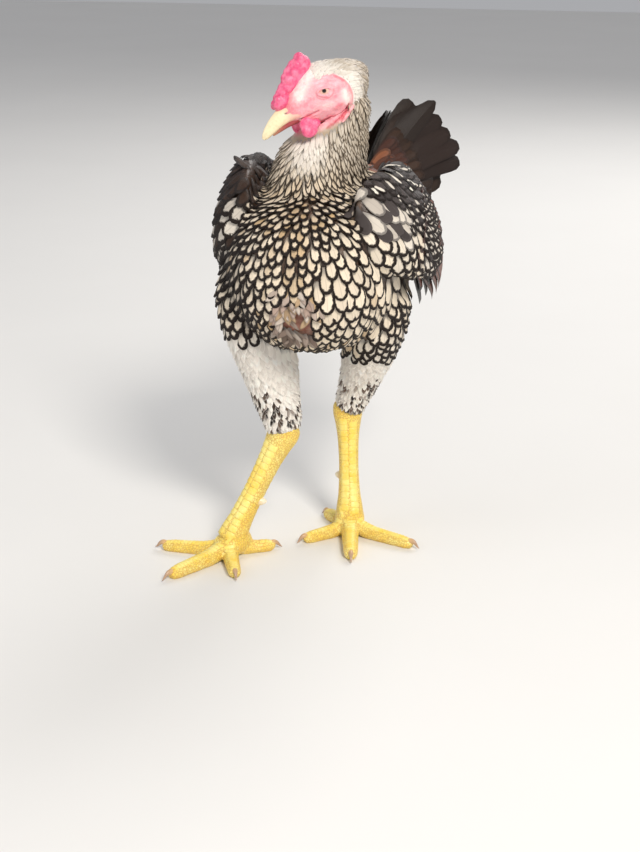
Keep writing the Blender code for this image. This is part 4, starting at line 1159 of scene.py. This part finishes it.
def skin_tones(places):
    """The skin's colour and how bare it is, for places in the bird's frame, with deep red painted shade along
    the creases, lids and root of the bill and painted highlight on the brow and cheek.
    """
    spots = (places - np.array(HEAD_AT)) @ np.array(HEAD_TURN.to_3x3())
    side = spots.copy()
    side[:, 0] = np.abs(side[:, 0])
    lids = np.abs(np.hypot((side[:, 1] + 0.006) / 0.0078, (side[:, 2] - 0.0030) / 0.0056) - 1)
    pale = [share * bell(side, middle, sizes) for share, middle, sizes in PALE_AND_HIGHLIGHT_SPOTS]
    # painted highlight: the brow band's pale is partly the skin's own, partly a painted highlight
    pale.append(1.5 * near_line(side, PALE_BROW_HIGHLIGHT, 0.0060))
    pale = np.clip(np.max(pale, axis=0), 0, 1)
    # painted shade: deep red along the jaw crease, face rim, gape and lower lids, and towards the bill's root
    deep = np.max([near_line(side, JAW_CREASE, 0.0019), 0.55 * near_line(side, FACE_RIM, 0.0016),
                   0.7 * near_line(side, GAPE_CREASE, 0.0010),
                   0.42 * np.clip((-side[:, 1] - 0.029) / 0.008, 0, 1),
                   0.50 * np.exp(-(lids / 0.10) ** 2) * (side[:, 2] < 0.0030)], axis=0)
    tones, faces = [], []
    for place, spot, light, dark in zip(places.tolist(), spots.tolist(), pale.tolist(), deep.tolist(),
                                        strict=True):
        place, spot = Vector(place), Vector(spot)
        face = bare(spot) if place.z > HACKLE_TOP and spot.y < 0.040 else 0.0
        if place.z > HACKLE_TOP:
            cover = blend(SNOW, BLUSH, 0.5) if place.z > 0.415 else KHAKI
            tone = blend(cover, blend(blend(PINK, BLUSH, light), CREASE_SHADE_RED, dark), face)
        elif place.z < 0.200:
            tone = SNOW
        elif place.y > 0.05 or abs(place.x - 0.008) > 0.046:
            tone = SEPIA
        else:
            mottle = 0.5 + 0.9 * noise.noise(place * 210)
            raw = blend((0.20, 0.055, 0.032), (0.42, 0.20, 0.14), clamp(mottle))
            tone = blend(DUSK if place.z < 0.35 else KHAKI, raw, min(1.0, 1.6 * keel_patch(place)))
        tones.append(tone)
        faces.append(face)
    return np.array(tones), np.array(faces)


def skin():
    """One skin for the body, inside the coat, with the bare head."""
    body = envelope
    body.name = "skin_body"
    places, normals = points_of(body)
    depth = LINING_DEPTH - 0.0018 * np.clip((0.175 - places[:, 2]) / 0.04, 0, 1)
    depth -= 0.0012 * np.clip((places[:, 2] - 0.35) / 0.04, 0, 1)
    set_points(body, places - normals * depth[:, None])
    whole = joined("skin", [head_skin, body, tail_stub])
    tones, faces = skin_tones(points_of(whole)[0])
    tint(whole, "tone", tones)
    gauge(whole, "face", faces)
    whole.data.materials.clear()
    whole.data.materials.append(skin_finish())
    whole.data.polygons.foreach_set("material_index", np.zeros(len(whole.data.polygons), dtype=np.int32))
    whole.data.shade_smooth()
    give(whole, "pink_face_skin", "torso", "neck", "head", "thigh_left", "thigh_right")


skin()


def eye_finish():
    """A pearl iris with a small dark pupil, under a clear wet surface."""
    made, w = finish("pearl_eye", (0.75, 0.66, 0.5), 0.30, Coat_Weight=0.45, Coat_Roughness=0.02,
                                Specular_IOR_Level=0.3)
    gaze = w.read("gaze")
    where = w.where()
    fibres = w.noise(where, 1500.0, 3.0)
    iris = w.mix(w.spread(fibres, 0.3, 0.75), (0.72, 0.42, 0.33), (0.92, 0.72, 0.62))
    iris = w.mix(w.spread(gaze, 0.28, 0.44), w.mix(0.5, iris, (0.45, 0.16, 0.10)), iris)
    eye = w.mix(w.spread(gaze, 0.235, 0.265), (0.004, 0.003, 0.003), iris)
    eye = w.mix(w.spread(gaze, 0.74, 0.90), eye, (0.40, 0.10, 0.10))
    w.paint(eye)
    return made


def eyes():
    """Both eyeballs, their corneas a little fuller."""
    material = eye_finish()
    for side in (1, -1):
        name = "eye_left" if side > 0 else "eye_right"
        bpy.ops.mesh.primitive_uv_sphere_add(segments=48, ring_count=32, radius=EYE_RADIUS,
                                             location=(0, 0, 0))
        ball = bpy.context.object
        ball.name = f"{name}_ball"
        ball.data.transform(Matrix.Rotation(math.radians(90), 4, "Y"))
        places, _ = points_of(ball)
        aim = Vector((side, -0.10, 0.10)).normalized()
        angle = np.arccos(np.clip(places @ np.array(aim) / EYE_RADIUS, -1, 1))
        gauge(ball, "gaze", angle)
        swell = 1 + 0.07 * np.exp(-(angle / 0.42) ** 4)
        middle = np.array((side * (EYE_AT.x - 0.0040), EYE_AT.y, EYE_AT.z))
        set_points(ball, places * swell[:, None] + middle)
        hand_over(ball, material, "pearl_eye", name, in_head=True)


eyes()


def comb_finish(name, deep, bright):
    """Wet-looking bare skin of the comb and wattles."""
    made, w = finish(name, deep, 0.34, Specular_IOR_Level=0.55, Subsurface_Weight=0.15,
                     Subsurface_Scale=0.004, Subsurface_Radius=(1.0, 0.2, 0.15))
    where = w.where()
    grains = w.node("ShaderNodeTexVoronoi", in_Vector=where, in_Scale=1100.0).outputs["Distance"]
    blotch = w.noise(where, 220.0, 3.0)
    w.paint(w.mix(w.spread(blotch, 0.3, 0.7), deep, bright))
    w.bump(w.math("ADD", grains, blotch), 0.5, 0.0005)
    return made


def lump(middle, sizes, turn=None):
    """A squashed ball as a start for soft forms."""
    bpy.ops.mesh.primitive_ico_sphere_add(subdivisions=4, radius=1.0, location=(0, 0, 0))
    made = bpy.context.object
    place = Matrix.Translation(middle) @ (turn or Matrix.Identity(4)) @ Matrix.Diagonal((*sizes, 1))
    made.data.transform(place)
    return made


def comb(material):
    """The low three-rowed comb, its knobs run together."""
    draw = random.Random(11)
    slope = math.radians(38)
    turn = Matrix.Rotation(slope, 4, "X")
    parts = []
    for middle, sizes, knobs in ((Vector((0, -0.0195, 0.0218)), Vector((0.0084, 0.0188, 0.0112)), 5),
                                 (Vector((0, -0.0395, 0.0068)), Vector((0.0072, 0.0098, 0.0068)), 3)):
        parts.append(lump(middle, sizes, turn))
        for row in (-1, 0, 1):
            for n in range(knobs):
                along = (n + 0.5 + draw.uniform(-0.2, 0.2)) / knobs * 2 - 1
                tilt = row * draw.uniform(0.75, 1.0)
                reach = math.sqrt(max(0.0, 1 - 0.92 * along * along)) * 0.72
                spot = Vector((math.sin(tilt) * sizes.x * reach, along * sizes.y * 0.93,
                               math.cos(tilt) * sizes.z * reach))
                girth = sizes.x * draw.uniform(0.42, 0.56)
                parts.append(lump(middle + turn.to_3x3() @ spot, (girth, girth * 1.1, girth * 1.05), turn))
    made = joined("pea_comb", parts)
    fused(made, COMB_GRAIN, 16)
    hand_over(made, material, "red_comb", "comb", in_head=True)


def wattles(material, pale):
    """Both wattles as folded lobes, and the flat lobes under the ears."""
    folds = (
        ((0.0112, -0.0285, -0.0180), (0.0040, 0.0068, 0.0060)),
        ((0.0124, -0.0282, -0.0240), (0.0036, 0.0074, 0.0060)),
        ((0.0120, -0.0225, -0.0205), (0.0032, 0.0060, 0.0044)),
        ((0.0126, -0.0315, -0.0215), (0.0030, 0.0042, 0.0056)),
    )
    flaps = (
        ((0.0180, 0.0060, -0.0240), (0.0020, 0.0080, 0.0016)),
        ((0.0196, 0.0116, -0.0196), (0.0016, 0.0040, 0.0018)),
    )
    for side, name in ((1, "left"), (-1, "right")):
        lean = Matrix.Rotation(math.radians(-side * 8), 4, "Y")
        turn = Matrix.Rotation(math.radians(side * 9), 4, "Z") @ Matrix.Rotation(math.radians(30), 4, "X")
        for node, title, lumps, placed, colour, slot in (
            (f"wattle_{name}", "lobe", folds, lean, material, "red_comb"),
            (f"earlobe_{name}", "flap", flaps, turn, pale, "pink_face_skin"),
        ):
            parts = [lump((side * x, y, z), sizes, placed) for (x, y, z), sizes in lumps]
            made = joined(f"{node}_{title}", parts)
            fused(made, LOBE_GRAIN, 6)
            hand_over(made, colour, slot, node, in_head=True)


RED = comb_finish("comb_skin", (0.74, 0.075, 0.20), (0.92, 0.22, 0.36))
comb(RED)
wattles(RED, comb_finish("earlobe_skin", (0.86, 0.24, 0.28), (0.93, 0.50, 0.50)))


def horn_finish(name, root_colour, tip_colour, axis_low, axis_high):
    """Horn that changes from root to tip by the piece's own 'along' number, and is painted near black as
    shade in the nostril.
    """
    made, w = finish(name, tip_colour, 0.30, Specular_IOR_Level=0.5)
    along = w.read("along")
    painted_hollow_shade = w.read("painted_hollow_shade")
    where = w.where()
    grain = w.noise(where, 420.0, 4.0)
    colour = w.mix(w.spread(along, axis_low, axis_high), root_colour, tip_colour)
    colour = w.mix(w.math("MULTIPLY", w.spread(grain, 0.45, 0.8), 0.35), colour,
                   w.mix(1.0, colour, (0.62, 0.48, 0.36), "MULTIPLY"))
    # painted shade: near black where the nostril is sunk
    colour = w.mix(painted_hollow_shade, colour, (0.05, 0.015, 0.012))
    w.paint(colour)
    w.bump(grain, 0.25, 0.0003)
    return made


def beak():
    """Both halves of the bill, with the nostrils sunk and painted near black as shade, the upper edge hanging
    over the lower, and the lower bill coloured dark as painted shade.
    """
    pale = horn_finish("bill_horn", (0.90, 0.50, 0.42), (0.92, 0.78, 0.50), 0.0, 0.42)
    # painted shade: the lower bill is coloured dark red-brown, as though in shade
    shaded_lower_horn = horn_finish("lower_bill_shaded_horn", (0.36, 0.055, 0.060), (0.50, 0.26, 0.14), 0.25, 0.9)
    uppers = along_y([
        (-0.029, -0.0070, 0.0120, 0.0092, 0.0072), (-0.034, -0.0066, 0.0106, 0.0094, 0.0070),
        (-0.041, -0.0070, 0.0084, 0.0090, 0.0060), (-0.050, -0.0095, 0.0064, 0.0073, 0.0049),
        (-0.058, -0.0130, 0.0044, 0.0053, 0.0040),
    ]) + [(0, -0.0635, -0.0160, 0, 0.3, 1, 0.0027, 0.0033, 0.0027),
          (0, BEAK_TIP.y, BEAK_TIP.z, 0, 0.6, 1, 0.0008, 0.0008, 0.0008)]
    lowers = along_y([
        (-0.033, -0.0126, 0.0074, 0.0052, 0.0040), (-0.043, -0.0138, 0.0058, 0.0052, 0.0029),
        (-0.051, -0.0156, 0.0039, 0.0042, 0.0021), (-0.0570, -0.0176, 0.0015, 0.0024, 0.0010),
    ])
    for name, rows, node in (("upper_bill", uppers, "beak_upper"), ("lower_bill", lowers, "beak_lower")):
        made = loft(name, rows, 64, 60, square=2.15)
        places, normals = points_of(made)
        mirrored = places.copy()
        mirrored[:, 0] = np.abs(mirrored[:, 0])
        painted_hollow_shade = np.zeros(len(places))
        if node == "beak_upper":
            # painted shade in the sunk nostril, which the horn finish turns near black
            painted_hollow_shade = 1.6 * bell(mirrored, NOSTRIL, (0.004, 0.0030, 0.0011)) - 0.35
            painted_hollow_shade = np.clip(painted_hollow_shade, 0, 1)
            move = -0.0012 * bell(mirrored, NOSTRIL, (0.004, 0.0032, 0.0012))
            move += 0.0007 * bell(mirrored, (0.0072, -0.0405, 0.0002), (0.004, 0.0044, 0.0013))
            move += 0.0006 * np.exp(-(places[:, 0] / 0.0014) ** 2) * (normals[:, 2] > 0.3)
            set_points(made, places + normals * move[:, None])
        gauge(made, "along", np.clip((-places[:, 1] - 0.033) / 0.0335, 0, 1))
        gauge(made, "painted_hollow_shade", painted_hollow_shade)
        hand_over(made, pale if node == "beak_upper" else shaded_lower_horn, "pale_horn", node, in_head=True)


beak()


def leg_ways(leg):
    """A leg's way ahead and its way to the bird's own left."""
    ahead = Vector((math.sin(leg["heading"]), -math.cos(leg["heading"]), 0))
    return ahead, Vector((-ahead.y, ahead.x, 0))


def toe_line(leg, toe):
    """A toe's start, way and length."""
    ahead, _ = leg_ways(leg)
    angle, share = leg["toes"][toe]
    turned = leg["heading"] + math.radians(angle) * leg["side"]
    way = Vector((math.sin(turned), -math.cos(turned), 0))
    base = Vector((leg["foot"].x, leg["foot"].y, 0))
    return base + ahead * (-0.004 if toe == "hind" else 0.004), way, TOE_MIDDLE * share


def toe_girth(toe, t):
    """A toe's half thickness along it, from 0 at the root to 1 at the tip."""
    thick = 0.0085 if toe == "middle" else 0.0077
    levels = [(0.0, 1.12), (0.18, 1.08), (0.38, 0.98), (0.62, 0.91), (0.84, 0.86), (0.95, 0.76), (1.0, 0.50)]
    for (a, ga), (b, gb) in zip(levels, levels[1:], strict=False):
        if t <= b:
            return thick * (ga + (gb - ga) * (t - a) / (b - a))
    return thick * 0.5


def leg_form(name, leg):
    """Shank, ball of the foot and toes as one skin with soft pads."""
    ahead, _ = leg_ways(leg)
    hock, foot = leg["hock"], leg["foot"]
    levels = [
        (-0.085, 0.0090, 0.0090, 0.0080), (-0.040, 0.0138, 0.0155, 0.0138), (0.040, 0.0146, 0.0178, 0.0142),
        (0.150, 0.0125, 0.0155, 0.0125), (0.300, 0.0106, 0.0132, 0.0112), (0.550, 0.0098, 0.0122, 0.0104),
        (0.800, 0.0110, 0.0126, 0.0114), (0.930, 0.0130, 0.0136, 0.0130), (1.020, 0.0138, 0.0134, 0.0136),
    ]
    rows = []
    for t, wide, behind, before in levels:
        middle = hock.lerp(foot, t)
        rows.append((*middle, *(-ahead), wide - 0.0003, behind - 0.0003, before - 0.0003))
    parts = [loft("shank", rows, 40, 60, square=2.1)]
    start = foot + Vector((0, 0, 0.004)) - ahead * 0.004
    pad = [
        (-0.0125, 0.0020, 0.0072, 0.0070, 0.0140), (-0.007, 0.0050, 0.0124, 0.0108, 0.0190),
        (0.004, 0.0080, 0.0144, 0.0102, 0.0164), (0.015, 0.0115, 0.0130, 0.0078, 0.0126),
        (0.022, 0.0135, 0.0076, 0.0054, 0.0100),
    ]
    parts.append(loft("pad", [(*(start + ahead * a - Vector((0, 0, b))), 0, 0, 1, c, d, e)
                              for a, b, c, d, e in pad], 36, 24))
    for toe in leg["toes"]:
        origin, way, length = toe_line(leg, toe)
        joints = {"middle": 4, "outer": 5, "inner": 3, "hind": 2}[toe]
        rows = []
        for k in range(41):
            t = k / 40
            radius = toe_girth(toe, t)
            below = radius * (0.84 + 0.10 * abs(math.sin(math.pi * joints * t)))
            height = radius * 0.84 - TOE_SINK + TOE_RISE * max(0.0, 1 - t / 0.45) ** 2
            place = origin + way * (length * t)
            rows.append((place.x, place.y, height, 0, 0, 1, radius - 0.0002, radius * 0.90, below))
        parts.append(loft(f"toe_{toe}", rows, 24, 60))
    made = joined(f"leg_skin_{name}", parts)
    fused(made, LEG_GRAIN, 3)
    places, _ = points_of(made)
    places[:, 2] = np.maximum(places[:, 2], 0.0001)
    set_points(made, places)
    return made


class Plates:
    """Raised scales gathered into one mesh."""

    def __init__(self, name):
        self.name = name
        self.places, self.faces, self.rims = [], [], []

    def add(self, tree, middle, out, along, wide, tall, high):
        """One scale laid on a surface: a low pillow whose far edge stands out most."""
        across = along.cross(out).normalized()
        count = 6
        start = len(self.places)
        for layer in (1, 0):
            for i in range(count + 1):
                for j in range(count + 1):
                    u, v = 2 * i / count - 1, 2 * j / count - 1
                    rounded = 1 - 0.16 * (abs(u) ** 3) * (abs(v) ** 2)
                    spot = middle + across * (u * wide / 2 * rounded) + along * (v * tall / 2 * rounded)
                    hit, normal, _, _ = tree.find_nearest(spot)
                    inner = max(0.0, 1 - abs(u) ** 4) * max(0.0, 1 - abs(v) ** 6)
                    lift = high * (0.45 + 0.55 * (v + 1) / 2) * inner if layer else -0.0006
                    if not inner:
                        lift = -0.0002 if layer else -0.0006
                    self.places.append(hit + normal * lift)
                    self.rims.append(inner)
        side = count + 1
        size = side * side
        for i in range(count):
            for j in range(count):
                a = start + i * side + j
                self.faces.append((a, a + 1, a + side + 1, a + side))
                b = a + size
                self.faces.append((b, b + side, b + side + 1, b + 1))
        ring = ([i * side for i in range(count)] + [count * side + j for j in range(count)]
                + [i * side + count for i in range(count, 0, -1)] + list(range(count, 0, -1)))
        for one, two in zip(ring, ring[1:] + ring[:1], strict=True):
            self.faces.append((start + two, start + one, start + size + one, start + size + two))

    def make(self, material):
        """The mesh object of all the scales."""
        mesh = bpy.data.meshes.new(self.name)
        mesh.from_pydata([tuple(p) for p in self.places], [], self.faces)
        form = bmesh.new()
        form.from_mesh(mesh)
        bmesh.ops.recalc_face_normals(form, faces=form.faces)
        form.to_mesh(mesh)
        form.free()
        made = link(bpy.data.objects.new(self.name, mesh))
        gauge(made, "inner", self.rims)
        mesh.shade_smooth()
        mesh.materials.append(material)
        return made


def scale_finish(name, plated):
    """Yellow leg skin with fine pale specks of painted highlight: small scales by pattern on the skin, or the
    worn finish of the large plates.
    """
    made, w = finish(name, (0.93, 0.76, 0.28), 0.36, Specular_IOR_Level=0.5, Subsurface_Weight=0.08,
                                Subsurface_Scale=0.002)
    where = w.where()
    blotch = w.noise(where, 60.0, 4.0)
    fine = w.noise(where, 520.0, 3.0)
    colour = w.mix(w.spread(blotch, 0.35, 0.70), (0.94, 0.66, 0.10), (0.97, 0.82, 0.26))
    # painted highlight: fine pale yellow specks standing in for glints on the scales
    colour = w.mix(w.math("MULTIPLY", w.spread(fine, 0.5, 0.8), 0.5), colour, (0.98, 0.91, 0.48))
    if plated:
        inner = w.read("inner")
        colour = w.mix(w.spread(inner, 0.05, 0.55), (0.62, 0.34, 0.07), colour)
        height = fine
    else:
        cells = w.node("ShaderNodeTexVoronoi", feature="DISTANCE_TO_EDGE", in_Vector=where, in_Scale=430.0)
        border = w.spread(cells.outputs["Distance"], 0.02, 0.16)
        colour = w.mix(border, (0.74, 0.46, 0.09), colour)
        height = w.math("ADD", border, w.math("MULTIPLY", fine, 0.3))
    w.paint(colour)
    w.bump(height, 0.6, 0.0006)
    return made


def claws(name, leg, material, spur_material):
    """Curved claws, a little narrower than tall, and the blunt spur."""
    for toe in leg["toes"]:
        origin, way, length = toe_line(leg, toe)
        end = origin + way * (length - 0.0035)
        reach = 0.0140 if toe == "middle" else 0.0120
        rows = []
        for k in range(13):
            t = k / 12
            height = 0.0052 + 0.0026 * math.sin(math.pi * min(1, t * 1.15)) - 0.0032 * t * t
            radius = max(0.0037 * (1 - t) ** 0.75, 0.0005)
            place = end + way * (reach * t)
            rows.append((place.x, place.y, height, 0, 0, 1, radius * 0.86, radius, radius))
        made = loft(f"claw_{name}_{toe}_horn", rows, 20, 26)
        places, _ = points_of(made)
        run = (places - np.array(end)) @ np.array(way) / reach
        gauge(made, "along", np.clip(run, 0, 1))
        gauge(made, "painted_hollow_shade", np.zeros(len(places)))
        hand_over(made, material, "pale_horn", f"claw_{name}_{toe}")
    ahead, left = leg_ways(leg)
    out = (left * -leg["side"] * 0.8 - ahead * 0.6).normalized()
    root = leg["hock"].lerp(leg["foot"], 0.66) + out * 0.006
    rows = [(*(root + out * (0.0105 * t)), 0, 0, 1, r, r, r)
            for t, r in ((0.0, 0.0048), (0.45, 0.0041), (0.8, 0.0027), (1.0, 0.0006))]
    made = loft(f"spur_{name}_horn", rows, 24, 24)
    places, _ = points_of(made)
    gauge(made, "along", np.clip((places - np.array(root)) @ np.array(out) / 0.0105, 0, 1))
    gauge(made, "painted_hollow_shade", np.zeros(len(places)))
    hand_over(made, spur_material, "pale_horn", f"spur_{name}")


# Plates before and behind on the shank: count, first place, step, angle from the front, width, length, height
SHANK_PLATES = ((15, 0.10, 0.058, 24, 0.0108, 0.0072, 0.0007), (12, 0.20, 0.062, 158, 0.0074, 0.0070, 0.0005))
TOE_PLATE = 0.0046
TOE_TOP = 0.024


def legs():
    """Both scaled legs with their plates, claws and spurs."""
    skin_material = scale_finish("leg_skin", False)
    plate_material = scale_finish("leg_plates", True)
    horn = horn_finish("claw_horn", (0.70, 0.44, 0.20), (0.46, 0.30, 0.20), 0.1, 0.8)
    spur_horn = horn_finish("spur_horn", (0.84, 0.60, 0.22), (0.88, 0.78, 0.58), 0.0, 0.8)
    for name, leg in LEGS.items():
        form = leg_form(name, leg)
        tree = surface_of(form)
        plates = Plates(f"leg_plates_{name}")
        ahead, left = leg_ways(leg)
        shank = (leg["foot"] - leg["hock"]).normalized()

        def lay(origin, towards, axis, top, *sizes):
            """One plate where a line meets the leg below a height, its length along the axis."""
            hit, normal, _, _ = tree.ray_cast(origin, towards)
            if hit is not None and hit.z <= top:
                plates.add(tree, hit, normal, (axis - normal * axis.dot(normal)).normalized(), *sizes)

        for count, first, step, angle, *sizes in SHANK_PLATES:
            for row in (0, 1):
                turn = math.radians(angle if row else -angle)
                out = (ahead * math.cos(turn) + left * math.sin(turn)).normalized()
                for k in range(count):
                    centre = leg["hock"].lerp(leg["foot"], first + step * (k + 0.5 * row))
                    lay(centre + out * 0.05, -out, shank, 1.0, *sizes)
        for toe in leg["toes"]:
            origin, way, length = toe_line(leg, toe)
            count = max(5, round(length / TOE_PLATE))
            for k in range(count):
                t = 0.16 + 0.80 * (k + 0.5) / count
                above = origin + way * (length * t) + Vector((0, 0, 0.05))
                lay(above, Vector((0, 0, -1)), way, TOE_TOP, toe_girth(toe, t) * 1.75,
                    length * 0.80 / count * 1.12, 0.0006)
        toes = [f"toe_{name}_{toe}" for toe in leg["toes"]]
        hand_over(form, skin_material, "yellow_leg_scales", f"shank_{name}", f"foot_{name}", *toes)
        give(plates.make(plate_material), "yellow_leg_scales")
        claws(name, leg, horn, spur_horn)


legs()


def studio():
    """A plain pale floor, soft light and the photograph's viewing angle."""
    bpy.ops.mesh.primitive_plane_add(size=12, location=(0, 0, 0))
    floor = bpy.context.object
    floor.name = "studio_floor"
    made, w = finish("pale_floor", (0.80, 0.79, 0.77), 0.75)
    where = w.where()
    w.paint(w.mix(w.noise(where, 3.0), (0.78, 0.77, 0.75), (0.82, 0.81, 0.79)))
    floor.data.materials.append(made)
    world = bpy.data.worlds.new("studio")
    bpy.context.scene.world = world
    world.use_nodes = True
    world.node_tree.nodes["Background"].inputs[0].default_value = (0.95, 0.96, 1.0, 1)
    world.node_tree.nodes["Background"].inputs[1].default_value = 0.42
    bpy.context.scene.view_settings.view_transform = "Standard"
    for name, place, power, size, colour in (
        ("key", (1.5, -2.2, 2.3), 92, 0.8, (1.0, 0.955, 0.89)),
        ("fill", (-2.2, -1.6, 1.4), 14, 2.2, (0.94, 0.97, 1.0)),
        ("rim", (0.6, 2.2, 1.9), 34, 1.4, (1.0, 0.98, 0.95)),
    ):
        light = bpy.data.lights.new(name, "AREA")
        light.energy = power
        light.size = size
        light.color = colour
        lamp = link(bpy.data.objects.new(name, light))
        lamp.location = Vector(place) + SHIFT
        lamp.rotation_euler = (LIT_PLACE + SHIFT - lamp.location).to_track_quat("-Z", "Y").to_euler()
    lens = bpy.data.cameras.new("photo_view")
    lens.lens = LENS_MM
    lens.sensor_width = SENSOR_MM
    camera = link(bpy.data.objects.new("photo_view", lens))
    level = math.cos(VIEW_DOWN)
    back = Vector((math.sin(VIEW_ROUND) * level, -math.cos(VIEW_ROUND) * level, math.sin(VIEW_DOWN)))
    camera.location = CAMERA_AT + SHIFT
    camera.rotation_euler = back.to_track_quat("Z", "Y").to_euler()
    bpy.context.scene.camera = camera


studio()
